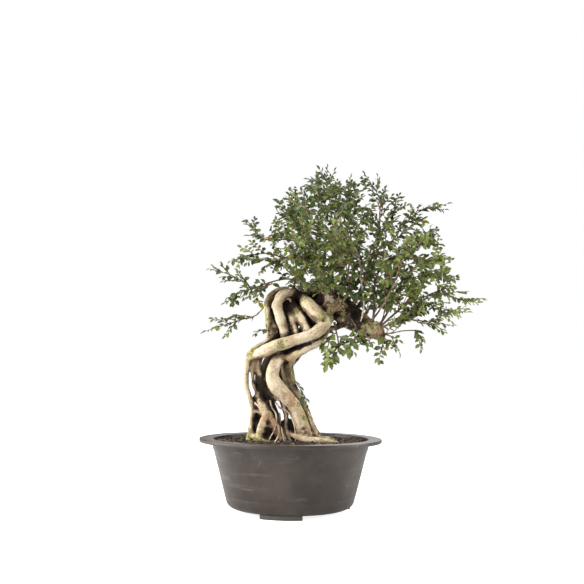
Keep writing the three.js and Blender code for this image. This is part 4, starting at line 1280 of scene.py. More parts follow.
class BONSAI_OT_grow_branches(Operator):
    """Grow the bare branches of the crown"""

    bl_idname = "bonsai.grow_branches"
    bl_label = "Grow branches"

    def execute(self, context):
        rng = random.Random(21)
        bm = bmesh.new()
        pale = bmesh.new()
        for name, stations in BRANCHES.items():
            samples = smooth_path(stations, 4)
            for k, sample in enumerate(samples):
                if k > 1:
                    sample.x += rng.uniform(-0.5, 0.5)
                    sample.y += rng.uniform(-0.5, 0.5)
                    sample.w *= rng.uniform(0.9, 1.12)
                flare = 1.5 - 0.125 * k if k < 4 and name != "light" else 1.0
                sample.w *= flare * (FRONT_STEM_SHARE if name.startswith("front") else STEM_SHARE)
            sweep(pale if name == "light" else bm, samples, 8)
        finish_piece("branches", bm, [twig_material("branch_bark", BRANCH_BARK)], ["trunk"])
        finish_piece("pale_branch", pale, [twig_material("pale_bark", PALE_BRANCH_BARK)], ["trunk"])
        return {"FINISHED"}


def leaf_width_at(share):
    """Half width of a leaf's blade at a share of its length, for a blade one long."""
    return max(0.035, 0.27 * math.sin(math.pi * share ** 0.88) ** 0.8)


def leaf_template(name, fold, curl, breadth):
    """One leaf with a toothed edge, a folded blade and a stalk, one long along Y, facing up."""
    rows = 6
    bm = bmesh.new()
    chart = bm.loops.layers.uv.new("UVMap")
    under = bm.loops.layers.float.new("underside")
    bmesh.ops.create_grid(bm, x_segments=2, y_segments=rows, size=0.5, calc_uvs=True)
    for vert in bm.verts:
        row = round((vert.co.y + 0.5) * rows)
        side = round(vert.co.x * 2)
        share = max(0, row - 1) / (rows - 1)
        along = 0.0 if row == 0 else 0.09 + 0.91 * share
        half = 0.02 if row == 0 else leaf_width_at(share) * breadth
        inner = 1 < row < rows and side
        tooth = 1.09 if row % 2 == 0 else 0.9
        vert.co.x = side * half * (tooth if inner else 1.0)
        vert.co.y = along + (0.03 if inner and row % 2 == 0 else 0.0)
        vert.co.z = fold * abs(vert.co.x) - curl * along * along
    top = list(bm.faces)
    copied = bmesh.ops.duplicate(bm, geom=list(bm.faces))
    bottom = [item for item in copied["geom"] if isinstance(item, bmesh.types.BMFace)]
    bmesh.ops.reverse_faces(bm, faces=bottom)
    for face in bottom:
        for loop in face.loops:
            loop[under] = 1.0
    for vert in {vert for face in bottom for vert in face.verts}:
        if abs(vert.co.x) < 1e-6 and 0.05 < vert.co.y < 0.97:
            vert.co.z -= 0.035
    bottom_faces = set(bottom)
    bmesh.ops.remove_doubles(bm, verts=bm.verts, dist=1e-5)
    make_smooth(bm.faces)
    for face in bm.faces:
        face.material_index = 1
    for edge in bm.edges:
        kinds = {face in bottom_faces for face in edge.link_faces}
        edge.smooth = len(kinds) == 1
    return mesh_of(name, bm)


def in_gap(point):
    """Whether a point lies in one of the crown's gaps, seen from the camera."""
    stage = settings().stage
    nearer = stage.distance / (stage.distance + point.y * MM)
    height = stage.height / MM
    across, up = point.x * nearer, height + (point.z - height) * nearer
    gaps = GAPS + BARE_FRONTS if point.y < -12 else GAPS
    return any(math.hypot(across - x, up - z) < reach for x, z, reach in gaps)


class Foliage:
    """Draws leafy shoots with seeded draws; leaves in the crown's gaps are left out while it is sparing."""

    def __init__(self, seed):
        values = settings().foliage
        self.rng = random.Random(seed)
        self.length = values.leaf_length / MM
        self.gap = values.leaf_gap / MM
        self.turned = 0
        self.sparing = True
        self.templates = [leaf_template(f"leaf_{k}", *shape) for k, shape in enumerate(LEAF_SHAPES)]

    def shoot(self, stations, spread, leafy_from, size, tint):
        """A mesh of one shoot along stations, whose leaves face up and forwards with some spread."""
        bm = bmesh.new()
        bm.loops.layers.uv.new("UVMap")
        bm.loops.layers.float.new("underside")
        bm.verts.layers.float.new("tint")
        bm.verts.layers.float.new("turned")
        axis = (Vector(stations[-1][:3]) - Vector(stations[0][:3])).normalized()
        self.grow(bm, stations, facing_for(axis, self.rng, spread), leafy_from, size, tint)
        return bm

    def add_leaf(self, bm, foot, direction, facing, length, tint, turned=0.0):
        """Adds one leaf from its foot along a direction, its face turned about towards facing."""
        along = direction.normalized()
        across = along.cross(facing).normalized()
        up = across.cross(along)
        basis = Matrix((across, along, up)).transposed().to_4x4()
        matrix = Matrix.Translation(foot) @ basis @ Matrix.Scale(length, 4)
        first = len(bm.verts)
        bm.from_mesh(self.rng.choice(self.templates))
        bm.verts.ensure_lookup_table()
        made = bm.verts[first:]
        bmesh.ops.transform(bm, matrix=matrix, verts=made)
        tint_layer = bm.verts.layers.float["tint"]
        turned_layer = bm.verts.layers.float["turned"]
        for vert in made:
            vert[tint_layer] = tint
            vert[turned_layer] = turned

    def grow(self, bm, stations, facing, leafy_from, size, tint):
        """Adds a twig along stations with leaves by turns on both sides and one at its end."""
        rng = self.rng
        samples = smooth_path(stations, 5)
        sweep(bm, samples, 5)
        frames = frames_along(samples)
        walked = [0.0]
        for a, b in zip(samples, samples[1:]):
            walked.append(walked[-1] + (b - a).xyz.length)
        side = rng.choice((-1, 1))
        at = walked[-1] * leafy_from
        while at < walked[-1] - 1.0:
            k = next(i for i in range(1, len(walked)) if walked[i] >= at)
            share = (at - walked[k - 1]) / (walked[k] - walked[k - 1])
            foot = samples[k - 1].xyz.lerp(samples[k].xyz, share)
            tangent = frames[k - 1].col[2].xyz
            across = facing.cross(tangent).normalized()
            young = at / walked[-1]
            angle = rng.uniform(0.7, 1.15)
            direction = tangent * math.cos(angle) + across * side * math.sin(angle)
            direction += facing * rng.uniform(-0.35, 0.4) + UP * rng.uniform(-0.25, 0.1)
            tilt = facing + Vector((rng.gauss(0, 0.34), rng.gauss(-0.05, 0.34), rng.gauss(0.1, 0.3)))
            # Towards a twig's end its leaves are smaller, fresher and closer together
            length = self.length * size * rng.uniform(0.78, 1.2) * (1.06 - 0.32 * young)
            shade = min(1.0, max(-0.2, tint + rng.gauss(0, 0.24) + 0.3 * (young - 0.5)))
            turned = self.turn_of_leaf()
            if not (self.sparing and in_gap(foot + direction * (length * 0.5))):
                self.add_leaf(bm, foot, direction, tilt, length, shade, turned)
            side = -side
            at += self.gap * max(1.0, size) * rng.uniform(0.8, 1.2) * (1.15 - 0.3 * young)
        last = frames[-1].col[2].xyz
        self.add_leaf(bm, samples[-1].xyz, last + facing * rng.uniform(-0.3, 0.3), facing,
                      self.length * size * rng.uniform(0.6, 0.9), min(1.0, tint + 0.2))

    def turn_of_leaf(self):
        """0 for a green leaf and more for the few that are turning or dead."""
        draw = self.rng.random()
        return max(self.turned, 0.5 * (draw < 0.003) + 0.35 * (draw < 0.0012))


def facing_for(axis, rng, spread):
    """The side to which a shoot's leaves face: up and towards the front, square to its axis."""
    wanted = Vector((0.05, -0.42, 0.9)) + Vector([rng.gauss(0, spread) for _ in range(3)])
    return (wanted - axis * wanted.dot(axis)).normalized()


def point_on(name, share):
    """A point of a branch at a share of its length, with the branch's direction there."""
    samples = smooth_path(BRANCHES[name], 2)
    place = min(len(samples) - 1, max(1, round(share * (len(samples) - 1))))
    return samples[place], (samples[place] - samples[place - 1]).xyz.normalized()


def share_nearest(name, low, high):
    """How far along a branch it comes nearest to a box."""
    def apart(share):
        point = point_on(name, share)[0].xyz
        inside = Vector(min(max(point[i], low[i]), high[i]) for i in range(3))
        return (point - inside).length

    return min((k / 40 for k in range(8, 41)), key=apart)


def shoot_stations(start, heading, tip, passed, rng, thick):
    """The path of a shoot: out of its branch, by a middle point and to its tip."""
    reach = (tip - start).length
    bow = any_way(rng, -0.4) * reach * 0.07
    middle = Vector(passed) if passed else start.lerp(tip, 0.55) + bow
    lead = start + heading * min(6.0, reach * 0.2)
    return [(*start, thick), (*lead, thick * 0.9), (*middle, thick * 0.65), (*tip, 0.4)]


class Crown:
    """The shoots of each branch: those of the outline first and then those that fill the lobes."""

    def __init__(self, seed):
        self.rng = random.Random(seed)
        self.shoots = {name: [] for name in BRANCHES}
        self.nodes = {name: [] for name in BRANCHES}
        self.places = []
        self.headings = []
        self.owners = []
        for name, stations in BRANCHES.items():
            self.remember(name, stations, 0.3)

    def remember(self, owner, stations, share):
        """Keeps the path's points from a share of its length on, where later shoots may spring."""
        samples = smooth_path(stations, 6)
        for k in range(max(1, round(share * len(samples))), len(samples)):
            self.places.append(samples[k].xyz)
            self.headings.append((samples[k] - samples[k - 1]).xyz.normalized())
            self.owners.append(owner)

    def add(self, owner, start, heading, tip, passed, leafy_from, size):
        """Adds a shoot to its branch; one with leaves from near its foot is a little stouter."""
        stations = shoot_stations(start, heading, tip, passed, self.rng, 1.2 if leafy_from < 0.2 else 1.0)
        self.shoots[owner].append((stations, leafy_from, size))
        self.remember(owner, stations, 0.25)

    def grow_outline(self):
        """The shoots that the spray nodes show."""
        for number, (name, share, tip, passed) in enumerate(SHOOTS, 1):
            self.grow_node(number, name, share, Vector(tip), passed)
        for number, name in enumerate(FILLED, len(SHOOTS) + 1):
            low, high = (FROM_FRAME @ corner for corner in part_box(f"spray_{number:02d}"))
            share = share_nearest(name, low, high)
            foot = point_on(name, share)[0].xyz
            far = Vector(low[i] if foot[i] - low[i] > high[i] - foot[i] else high[i] for i in range(3))
            self.grow_node(number, name, share, foot.lerp(far, 0.82), None)

    def grow_stems(self):
        """The thin stems of the fan, bare at their feet."""
        for name, share, tip in STEMS:
            place, tangent = point_on(name, share)
            heading = (tangent + (Vector(tip) - place.xyz).normalized()).normalized()
            self.add(name, place.xyz, heading, Vector(tip), None, BARE_STEM, 1.0)
            self.add_side_shoots(name, 1.0, 0.45)

    def grow_node(self, number, name, share, tip, passed):
        """The shoot of one spray node, which ends where its last leaf begins, short of the tip."""
        place, tangent = point_on(name, share)
        wanted = (tip - place.xyz).normalized()
        heading = tangent if share == 1 else (wanted - tangent * wanted.dot(tangent)).normalized()
        size = BIG_LEAVED.get(name, 1.0)
        tip = tip - wanted * END_LEAF * size
        self.nodes[name].append(f"spray_{number:02d}")
        self.add(name, place.xyz, heading, tip, passed, 0.1, size)
        self.add_side_shoots(name, size)

    def add_side_shoots(self, name, size, first=0.14):
        """Side shoots of the newest shoot, by turns on its two sides."""
        rng = self.rng
        samples = smooth_path(self.shoots[name][-1][0], 3)
        length = sum((b - a).xyz.length for a, b in zip(samples, samples[1:]))
        for k in range(round(length / 15)):
            along = first + (0.8 - first) * (k + rng.random() * 0.6) / (length / 15)
            at = min(len(samples) - 2, round(len(samples) * along))
            tangent = (samples[at + 1] - samples[at]).xyz.normalized()
            facing = facing_for(tangent, rng, 0.35)
            across = facing.cross(tangent) * (1 if k % 2 else -1)
            direction = tangent * 0.75 + across * rng.uniform(0.5, 0.9) + facing * rng.uniform(-0.6, 0.6)
            direction.normalize()
            reach = rng.uniform(15, 30) * (1.1 - 0.5 * at / len(samples))
            start = samples[at].xyz
            tip = start + direction * reach + tangent * reach * 0.2
            self.add(name, start, direction, tip, None, 0.16, size)

    def fill_lobes(self, gap):
        """Shoots to points spread through the lobes, each from the nearest wood, nearest first."""
        rng = self.rng
        targets = []
        seen = {}
        for _ in range(LOBE_TRIES):
            lobe = 0 if rng.random() < 0.6 else 1
            middle, radii = LOBES[lobe]
            offset = any_way(rng)
            if not 0.3 < offset.length < 1:
                continue
            point = Vector(middle[i] + offset[i] * radii[i] for i in range(3))
            floor = [height for at, height in CROWN_FLOOR if at <= point.x][-1]
            low = point.z < floor + 6 * noise.noise(point / 20)
            if low or noise.noise(point / 24) > FULLNESS[lobe] or in_gap(point):
                continue
            cell = tuple(math.floor(value / gap) for value in point)
            near = [
                other for dx in (-1, 0, 1) for dy in (-1, 0, 1) for dz in (-1, 0, 1)
                for other in seen.get((cell[0] + dx, cell[1] + dy, cell[2] + dz), ())
            ]
            if any((other - point).length < gap for other in near):
                continue
            seen.setdefault(cell, []).append(point)
            targets.append(point)
        first = np.array(self.places)
        targets.sort(key=lambda point: float(np.min(np.linalg.norm(first - np.array(point), axis=1))))
        for target in targets:
            self.reach_out(target)

    def reach_out(self, target):
        """One shoot to a target from the place that it grows from most easily."""
        away = np.array(target) - np.array(self.places)
        distance = np.linalg.norm(away, axis=1) + 1e-6
        forward = np.einsum("ij,ij->i", away, np.array(self.headings)) / distance
        k = int(np.argmin(distance * (1.3 - 0.45 * forward) + 4 * (distance < 8)))
        start = self.places[k]
        heading = (self.headings[k] * 0.6 + (target - start).normalized()).normalized()
        if distance[k] < 7:
            target = start + heading * 12
        self.add(self.owners[k], start, heading, target, None, 0.1 if distance[k] < 30 else 0.24, 1.0)


def tint_at(tip):
    """How fresh the leaves of a shoot are, in patches and more to the right, with painted shade that makes
    them darker high up and low down.
    """
    tint = 0.42 + 0.55 * noise.noise(tip / 34) + 0.0009 * (tip.x - 80)
    # Painted shade: the tint falls above 430 mm and below 360 mm
    return tint - (0.006 * max(0.0, tip.z - 430) + 0.0005 * max(0.0, 360 - tip.z))


class BONSAI_OT_grow_shoots(Operator):
    """Grow the leafy shoots of the crown, a piece for each branch"""

    bl_idname = "bonsai.grow_shoots"
    bl_label = "Grow shoots"

    def execute(self, context):
        crown = Crown(31)
        crown.grow_outline()
        crown.grow_stems()
        crown.fill_lobes(settings().foliage.shoot_gap / MM)
        foliage = Foliage(32)
        materials = [twig_material("twig_bark", settings().foliage.twig), leaf_material()]
        for name, shoots in crown.shoots.items():
            if not shoots:
                continue
            parts = []
            for stations, leafy_from, size in shoots:
                tint = tint_at(Vector(stations[-1][:3]))
                parts.append(foliage.shoot(stations, 0.4, leafy_from, size, tint))
            finish_piece(f"foliage_{name}", joined(parts), materials, crown.nodes[name])
        add_odd_leaves(foliage, materials)
        return {"FINISHED"}


# Small shoots that stand out for their size or colour: stations, leaf size, tint and how far they turned; a
# low tint paints the shade on leaves in shadow
SPROUTS = [
    ([(4, -5, 203, 1.2), (9, -10, 198, 1), (12, -12, 193, 0.8), (14, -12, 189, 0.5)], 1.3, 0, 0),
    ([(19, -6, 180, 1.1), (22, -12, 176, 0.9), (24, -14, 170, 0.7), (25, -14, 165, 0.4)], 1.1, 0.2, 0),
    ([(-36, -4, 281, 1.1), (-44, -10, 283, 0.9), (-52, -12, 280, 0.6), (-58, -14, 276, 0.4)], 1.1, 0.3, 0),
    ([(150, -8, 272, 1), (158, -16, 262, 0.7), (164, -20, 254, 0.4)], 1.1, 0.5, 0),
    ([(128, -12, 272, 1), (124, -20, 262, 0.7), (122, -24, 254, 0.4)], 0.9, 0.5, 0),
    ([(146, -6, 276, 1), (150, -14, 268, 0.7), (152, -16, 262, 0.4)], 1.5, 0.2, 0),
    ([(92, -24, 396, 1.1), (84, -50, 408, 1), (78, -64, 422, 0.8), (68, -72, 442, 0.5)], 1.25, 1.15, 0),
    ([(98, -24, 404, 1.1), (94, -52, 402, 1), (88, -66, 410, 0.8), (84, -76, 424, 0.5)], 1.15, 1.1, 0),
    ([(86, -22, 402, 1.1), (74, -48, 410, 1), (64, -62, 418, 0.8), (50, -70, 428, 0.5)], 1.1, 1, 0),
    ([(160, -14, 330, 1), (168, -34, 334, 0.9), (178, -42, 338, 0.7), (190, -46, 340, 0.4)], 1.1, 1.1, 0),
    ([(82, -10, 338, 1.2), (80, -28, 348, 1), (78, -40, 350, 0.8), (73, -48, 347, 0.5)], 1.6, 0.05, 0),
    ([(90, -12, 336, 1.2), (90, -30, 342, 1), (90, -42, 342, 0.8), (87, -50, 336, 0.5)], 1.8, -0.05, 0),
    ([(94, -12, 332, 1.2), (98, -30, 338, 1), (101, -42, 338, 0.8), (107, -50, 333, 0.5)], 1.8, -0.05, 0),
    ([(100, -12, 326, 1.2), (106, -28, 332, 1), (112, -38, 332, 0.8), (118, -44, 328, 0.5)], 1.5, 0, 0),
    ([(118, 6, 306, 1.2), (124, 0, 322, 1), (126, -4, 334, 0.8), (130, -6, 344, 0.5)], 1.4, 0, 0),
    ([(110, 10, 314, 1.2), (116, 8, 332, 1), (118, 6, 346, 0.8), (116, 4, 358, 0.5)], 1.5, -0.05, 0),
    ([(82, -12, 338, 1.2), (86, -32, 354, 1), (88, -44, 360, 0.8), (94, -54, 364, 0.5)], 1.7, 0, 0),
    ([(66, -10, 344, 1.2), (66, -30, 356, 1), (68, -44, 362, 0.8), (76, -52, 366, 0.5)], 1.6, 0.05, 0),
    ([(116, -20, 366, 1.2), (122, -36, 372, 1), (128, -46, 372, 0.8), (136, -50, 366, 0.5)], 1.8, -0.05, 0),
    ([(116, -20, 372, 1.2), (124, -38, 382, 1), (132, -48, 386, 0.8), (142, -52, 384, 0.5)], 1.5, 0, 0),
    ([(48, -6, 352, 1.2), (46, -24, 358, 1), (38, -36, 358, 0.8), (28, -42, 352, 0.5)], 1.4, 0.1, 0),
    ([(52, -6, 352, 1.2), (54, -26, 352, 1), (48, -38, 346, 0.8), (40, -44, 338, 0.5)], 1.3, 0.15, 0),
    ([(-48, 4, 330, 1), (-51, -2, 330, 0.8), (-54, -6, 328, 0.6), (-55, -8, 327, 0.4)], 1.35, 0.5, 0.5),
    ([(-20, 0, 432, 1), (-32, -6, 434, 0.9), (-40, -10, 434, 0.6), (-43, -12, 431, 0.4)], 1.0, 0.5, 0.9),
    ([(-44, 2, 434, 1), (-54, 0, 438, 0.8), (-60, -2, 446, 0.6), (-64, -4, 455, 0.4)], 1.1, 1.1, 0),
    ([(-34, -8, 396, 1), (-48, -12, 398, 0.9), (-58, -14, 397, 0.7), (-72, -14, 400, 0.4)], 1.75, 0.12, 0),
    ([(-76, 0, 302, 1), (-82, -4, 305, 0.9), (-87, -6, 306, 0.7), (-93, -8, 303, 0.4)], 1.8, 0.15, 0),
    ([(222, -14, 322, 0.9), (228, -18, 321, 0.7), (232, -20, 318, 0.5), (234, -20, 316, 0.3)], 1.6, 0.3, 0),
    ([(196, -8, 284, 0.9), (198, -12, 283, 0.7), (201, -14, 281, 0.5), (202, -14, 279, 0.3)], 1.5, 0.3, 0),
    ([(96, -20, 300, 1), (104, -24, 284, 0.9), (100, -28, 268, 0.7), (94, -30, 256, 0.4)], 1.35, 0.3, 0),
    # Dark sprouts whose low tint paints leaves in shade
    ([(100, 14, 322, 1.2), (98, 16, 334, 1), (98, 16, 346, 0.8), (104, 14, 358, 0.5)], 1.5, -0.05, 0),
    ([(106, 14, 314, 1.2), (108, 16, 324, 1), (112, 16, 332, 0.8), (118, 14, 338, 0.5)], 1.5, -0.05, 0),
    ([(92, 10, 326, 1.2), (92, 6, 336, 1), (94, 4, 344, 0.8), (100, 2, 350, 0.5)], 1.5, 0, 0),
]


def add_odd_leaves(foliage, materials):
    """The sprouts on the old wood, the shoots with large or pale leaves and a few turned leaves."""
    parts = []
    foliage.sparing = False
    for stations, size, tint, turned in SPROUTS:
        foliage.turned = turned
        parts.append(foliage.shoot(stations, 0.2, 0.3, size, tint))
    finish_piece("sprouts", joined(parts), materials)


def arc(middle_r, middle_z, radius, start, end, count):
    """Points of a round corner in a profile of radius and height; angles in degrees."""
    points = []
    for k in range(count + 1):
        angle = math.radians(start + (end - start) * k / count)
        points.append((middle_r + radius * math.cos(angle), middle_z + radius * math.sin(angle)))
    return points


def turn_profile(bm, profile, steps):
    """Turns a profile of radius and height once round the pot's axis."""
    verts = [bm.verts.new((radius, 0, height)) for radius, height in profile]
    edges = [bm.edges.new(pair) for pair in zip(verts, verts[1:])]
    bmesh.ops.spin(
        bm, geom=verts + edges, cent=(0, 0, 0), axis=UP, dvec=(0, 0, 0), angle=2 * math.pi, steps=steps,
        use_merge=True,
    )
    bmesh.ops.remove_doubles(bm, verts=bm.verts, dist=1e-4)
    bmesh.ops.recalc_face_normals(bm, faces=bm.faces)


class BONSAI_OT_make_pot(Operator):
    """Mould the round pot with its rim, feet and drain holes"""

    bl_idname = "bonsai.make_pot"
    bl_label = "Make pot"

    def execute(self, context):
        pot = settings().pot
        rim_radius = (POT_HIGH.x - POT_LOW.x) / 2 / MM
        rim_height = POT_HIGH.z / MM
        wall = pot.wall / MM
        lip = pot.lip / MM
        body_top = rim_radius - pot.rim / MM
        body_foot = 101.5
        base = 6
        under = rim_height - lip
        slope = (body_top - body_foot) / (under - 16)
        profile = [
            (0, base), (70, base), (body_foot - 12, base),
            *arc(body_foot - 11, base + 10.6, 10.6, -84, -14, 6),
            (body_foot + slope * 8, 24), (body_foot + slope * 9 - 0.35, 25), (body_foot + slope * 10, 26),
            (body_foot + slope * 40, 56), (body_foot + slope * 76, 92), (body_foot + slope * 77 + 0.5, 93),
            (body_top - 0.4, under - 2), (body_top + 0.6, under - 0.2), (body_top + 1.6, under),
            (rim_radius - 2, under - 0.2),
            *arc(rim_radius - 1, under + 1, 1, -90, 0, 3),
            *arc(rim_radius - 1.2, rim_height - 1.2, 1.2, 0, 90, 4),
            (rim_radius - 6, rim_height - 0.2), (body_top + 4, rim_height - 0.5),
            *arc(body_top - wall + 2.6, rim_height - 3.2, 2.6, 90, 180, 4),
            (body_top - wall - 0.6, under - 4), (body_foot - wall, 16), (body_foot - 10, base + wall),
            (60, base + wall), (0, base + wall),
        ]
        bm = bmesh.new()
        turn_profile(bm, profile, 120)
        feet = bmesh.new()
        foot_angle = 0.68
        for k in range(3):
            middle = -math.pi / 2 - 0.145 + k * 2 * math.pi / 3
            self.add_foot(feet, middle - foot_angle / 2, foot_angle)
        drills = bmesh.new()
        for k in range(4):
            place = Matrix.Rotation(k * math.pi / 2, 4, "Z") @ Matrix.Translation((58, 0, base))
            bmesh.ops.create_cone(
                drills, cap_ends=True, segments=24, radius1=5, radius2=5, depth=12, matrix=place,
            )
        cutter = put_in_scene("drills", mesh_of("drills", drills))
        bm = with_modifier(bm, "BOOLEAN", operation="DIFFERENCE", solver="EXACT", object=cutter)
        bpy.data.objects.remove(cutter)
        for vert in bm.verts:
            out = Vector((vert.co.x, vert.co.y, 0))
            if out.length > 60:
                wave = 0.55 * noise.noise(vert.co / 55) + 0.12 * noise.noise(vert.co / 12)
                vert.co += out.normalized() * wave * (0.3 if out.length > rim_radius - 4 else 1.0)
                if out.length > body_top + 3:
                    vert.co.z += 0.5 * noise.noise(Vector((vert.co.x, vert.co.y, 0)) / 38) - 0.3
        bm = joined([bm, feet])
        make_smooth(bm.faces)
        for edge in bm.edges:
            edge.smooth = edge.calc_face_angle(0) < 0.6
        finish_piece("pot_shell", bm, [plastic_material()], ["pot"])
        return {"FINISHED"}

    def add_foot(self, bm, start, angle):
        """A curved foot with a rounded outer edge, turned from a start through an angle."""
        steps = 14
        turn = Matrix.Rotation(start, 4, "Z")
        section = ((78, 0, 0), (94.4, 0, 0), (95, 0, 0.6), (95, 0, 7), (78, 0, 7))
        cap = drawn_out(bm, bm.faces.new([bm.verts.new(turn @ Vector(place)) for place in section]))
        stride = Matrix.Rotation(angle / steps, 3, "Z")
        for k in range(steps):
            if k:
                cap = bmesh.ops.extrude_discrete_faces(bm, faces=[cap])["faces"][0]
            bmesh.ops.rotate(bm, cent=(0, 0, 0), matrix=stride, verts=cap.verts)
        bmesh.ops.recalc_face_normals(bm, faces=bm.faces)


class BONSAI_OT_fill_soil(Operator):
    """Fill the pot with soil, crumbs, fibres and moss"""

    bl_idname = "bonsai.fill_soil"
    bl_label = "Fill soil"

    def execute(self, context):
        soil = settings().soil
        rng = random.Random(41)
        self.level = SOIL_HIGH.z / MM - soil.mound / MM
        self.mound = soil.mound / MM
        bm = bmesh.new()
        low = SOIL_LOW.z / MM
        rings = 44
        edge = 122.4
        profile = [(0, low), (60, low), (91, low), (98, 16), (110, 60), (edge, self.level - 0.6)]
        profile += [(edge * (1 - k / rings), self.level) for k in range(1, rings + 1)]
        turn_profile(bm, profile, 150)
        for vert in bm.verts:
            if vert.co.z > self.level - 0.3:
                vert.co.z = self.height_at(vert.co)
        make_smooth(bm.faces)
        finish_piece("soil_body", bm, [earth_material()], ["soil"])
        self.add_crumbs(rng, soil.crumbs)
        self.add_fibres(rng)
        self.add_cushions(rng)
        return {"FINISHED"}

    def height_at(self, place):
        """The height of the soil's uneven top."""
        flat = Vector((place.x, place.y, 0))
        rise = self.mound * math.exp(-(flat.length / 60) ** 2)
        rough = 1.0 * noise.noise(flat / 11) + 0.7 * noise.noise(flat / 4.5)
        return self.level + rise + rough - 0.6

    def somewhere(self, rng, outer=120.0):
        """A place on the soil's top."""
        radius = math.sqrt(rng.uniform(0, outer ** 2))
        angle = rng.uniform(0, 2 * math.pi)
        place = Vector((radius * math.cos(angle), radius * math.sin(angle), 0))
        place.z = self.height_at(place)
        return place

    def add_crumbs(self, rng, count):
        """Loose crumbs of all sizes, strewn over the soil."""
        parts = []
        for batch in batches(range(count), 30):
            bm = bmesh.new()
            shade = bm.verts.layers.float.new("shade")
            for _ in batch:
                size = rng.choice((0.7, 0.9, 1.1, 1.4, 1.9, 2.5))
                place = self.somewhere(rng) + UP * size * 0.25
                radii = tuple(size * rng.uniform(0.7, 1.25) for _ in range(3))
                turn = Quaternion([rng.gauss(0, 1) for _ in range(4)]).normalized()
                turned = Matrix.Translation(place) @ turn.to_matrix().to_4x4()
                matrix = turned @ Matrix.Diagonal((*radii, 1))
                made = bmesh.ops.create_icosphere(bm, subdivisions=1, radius=1, matrix=matrix)["verts"]
                tone = rng.random() ** 1.6
                for vert in made:
                    vert.co += (vert.co - place) * rng.uniform(-0.25, 0.2)
                    vert[shade] = tone
            parts.append(bm)
        finish_piece("soil_crumbs", joined(parts), [crumb_material()])

    def add_fibres(self, rng):
        """Short root fibres that lie on the soil."""
        parts = []
        for _ in range(90):
            start = self.somewhere(rng, 112) + UP * 0.5
            turn = rng.uniform(0, 2 * math.pi)
            stations = []
            for k in range(4):
                stations.append((*start, 0.35))
                turn += rng.uniform(-0.5, 0.5)
                start = start + Vector((math.cos(turn), math.sin(turn), 0)) * rng.uniform(2, 4)
                start.z = self.height_at(start) + rng.uniform(0.4, 1.6)
            parts.append(swept(stations, 3, 4))
        finish_piece("soil_fibres", joined(parts), [twig_material("fibre", FIBRE_BROWN)])

    def add_cushions(self, rng):
        """Moss in low cushions round the foot of the roots."""
        feet = [Vector((station[-1][0], station[-1][1], 0)) for station in ROOTS.values()]
        spots = []
        for _ in range(54):
            foot = rng.choice(feet)
            middle = foot + Vector((rng.gauss(0, 13), rng.gauss(-4, 12), 0))
            reach = rng.uniform(2, 5)
            for _ in range(round(reach * 9)):
                offset = Vector((rng.gauss(0, 0.5), rng.gauss(0, 0.5), 0)) * reach
                place = middle + offset
                place.z = self.height_at(place) + max(0.0, reach * 0.3 - offset.length * 0.15)
                spots.append((place, (UP + offset * 0.15).normalized()))
        add_moss("soil_moss", spots, rng, 0.85)


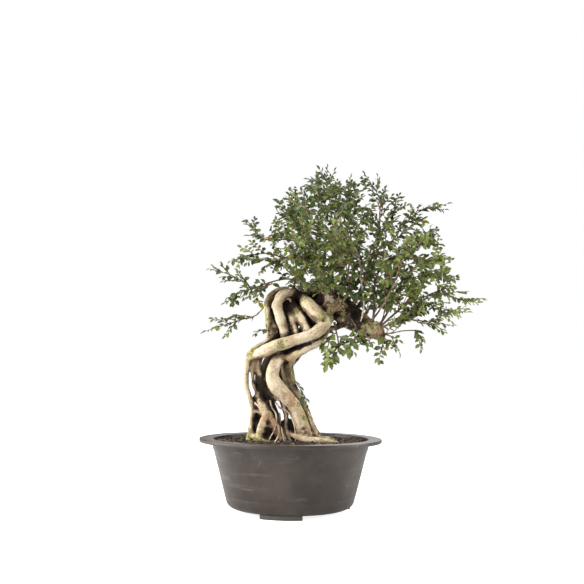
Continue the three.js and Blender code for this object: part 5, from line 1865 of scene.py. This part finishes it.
class BONSAI_OT_set_stage(Operator):
    """Set the camera, the pale floor and the soft lights"""

    bl_idname = "bonsai.set_stage"
    bl_label = "Set stage"

    def execute(self, context):
        scene = context.scene
        stage = settings().stage
        lens = bpy.data.cameras.new("camera")
        lens.lens = stage.lens
        lens.sensor_width = 36
        camera = put_in_scene("camera", lens)
        place = Matrix.Translation(POT_AXIS + Vector((0, -stage.distance, stage.height)))
        camera.matrix_world = (
            place @ Matrix.Rotation(math.pi / 2 + stage.tilt, 4, "X") @ Matrix.Rotation(stage.roll, 4, "Z")
        )
        scene.camera = camera
        scene.view_settings.view_transform = "Standard"
        self.add_world(scene)
        self.add_floor()
        for name, (offset, size, share) in LIGHTS.items():
            self.add_light(name, TREE_MIDDLE + Vector(offset), size, stage.light * share)
        return {"FINISHED"}

    def add_world(self, scene):
        """Even light from all round, with a white background."""
        world = bpy.data.worlds.new("studio")
        world.use_nodes = True
        scene.world = world
        tree = world.node_tree
        tree.nodes.clear()
        output = add_node(tree, "OutputWorld")
        soft = add_node(tree, "Background", {"Color": (1, 1, 1, 1), "Strength": 0.27})
        white = add_node(tree, "Background", {"Color": (1, 1, 1, 1), "Strength": 1.0})
        seen = add_node(tree, "LightPath").outputs["Is Camera Ray"]
        both = add_node(tree, "MixShader", {0: seen, 1: soft.outputs[0], 2: white.outputs[0]})
        tree.links.new(both.outputs[0], output.inputs["Surface"])

    def add_floor(self):
        """A pale floor that looks white to the camera and still takes shadows."""
        bm = bmesh.new()
        bmesh.ops.create_grid(bm, x_segments=2, y_segments=2, size=30)
        floor = put_in_scene("floor", mesh_of("floor", bm))
        pale = Finish("pale_floor")
        pale.coat(FLOOR_WHITE)
        pale.feed("Emission Color", (1, 1, 1, 1))
        seen = add_node(pale.tree, "LightPath").outputs["Is Camera Ray"]
        pale.feed("Emission Strength", pale.times(seen, 0.85))
        floor.data.materials.append(pale.done(0.9, 0.1))

    def add_light(self, name, place, size, power):
        """A square lamp that shines on the middle of the tree."""
        light = bpy.data.lights.new(name, "AREA")
        light.size = size
        light.energy = power
        lamp = put_in_scene(name, light)
        turn = (TREE_MIDDLE - place).to_track_quat("-Z", "Y")
        lamp.matrix_world = Matrix.Translation(place) @ turn.to_matrix().to_4x4()


class BONSAI_PT_pieces(Panel):
    """The bonsai's pieces and settings"""

    bl_label = "Bonsai"
    bl_idname = "BONSAI_PT_pieces"
    bl_space_type = "VIEW_3D"
    bl_region_type = "UI"
    bl_category = "Bonsai"

    def draw(self, context):
        values = context.scene.bonsai
        for group, operators in PANEL_ROWS:
            box = self.layout.box()
            own = getattr(values, group)
            for key in own.__annotations__:
                box.prop(own, key)
            for operator in operators:
                box.operator(operator)


PANEL_ROWS = (
    ("stage", ("bonsai.set_stage",)),
    ("pot", ("bonsai.make_pot",)),
    ("soil", ("bonsai.fill_soil",)),
    ("wood", ("bonsai.grow_wood", "bonsai.grow_branches")),
    ("foliage", ("bonsai.grow_shoots",)),
)

CLASSES = (
    PotSettings, SoilSettings, WoodSettings, FoliageSettings, StageSettings, BonsaiSettings,
    BONSAI_OT_set_stage, BONSAI_OT_make_pot, BONSAI_OT_fill_soil, BONSAI_OT_grow_wood,
    BONSAI_OT_grow_branches, BONSAI_OT_grow_shoots, BONSAI_PT_pieces,
)


def register():
    for item in CLASSES:
        bpy.utils.register_class(item)
    bpy.types.Scene.bonsai = PointerProperty(type=BonsaiSettings)


def unregister():
    del bpy.types.Scene.bonsai
    for item in reversed(CLASSES):
        bpy.utils.unregister_class(item)


def main():
    register()
    bpy.ops.bonsai.set_stage()
    bpy.ops.bonsai.make_pot()
    bpy.ops.bonsai.fill_soil()
    bpy.ops.bonsai.grow_wood()
    bpy.ops.bonsai.grow_branches()
    bpy.ops.bonsai.grow_shoots()


if __name__ == "__main__":
    main()
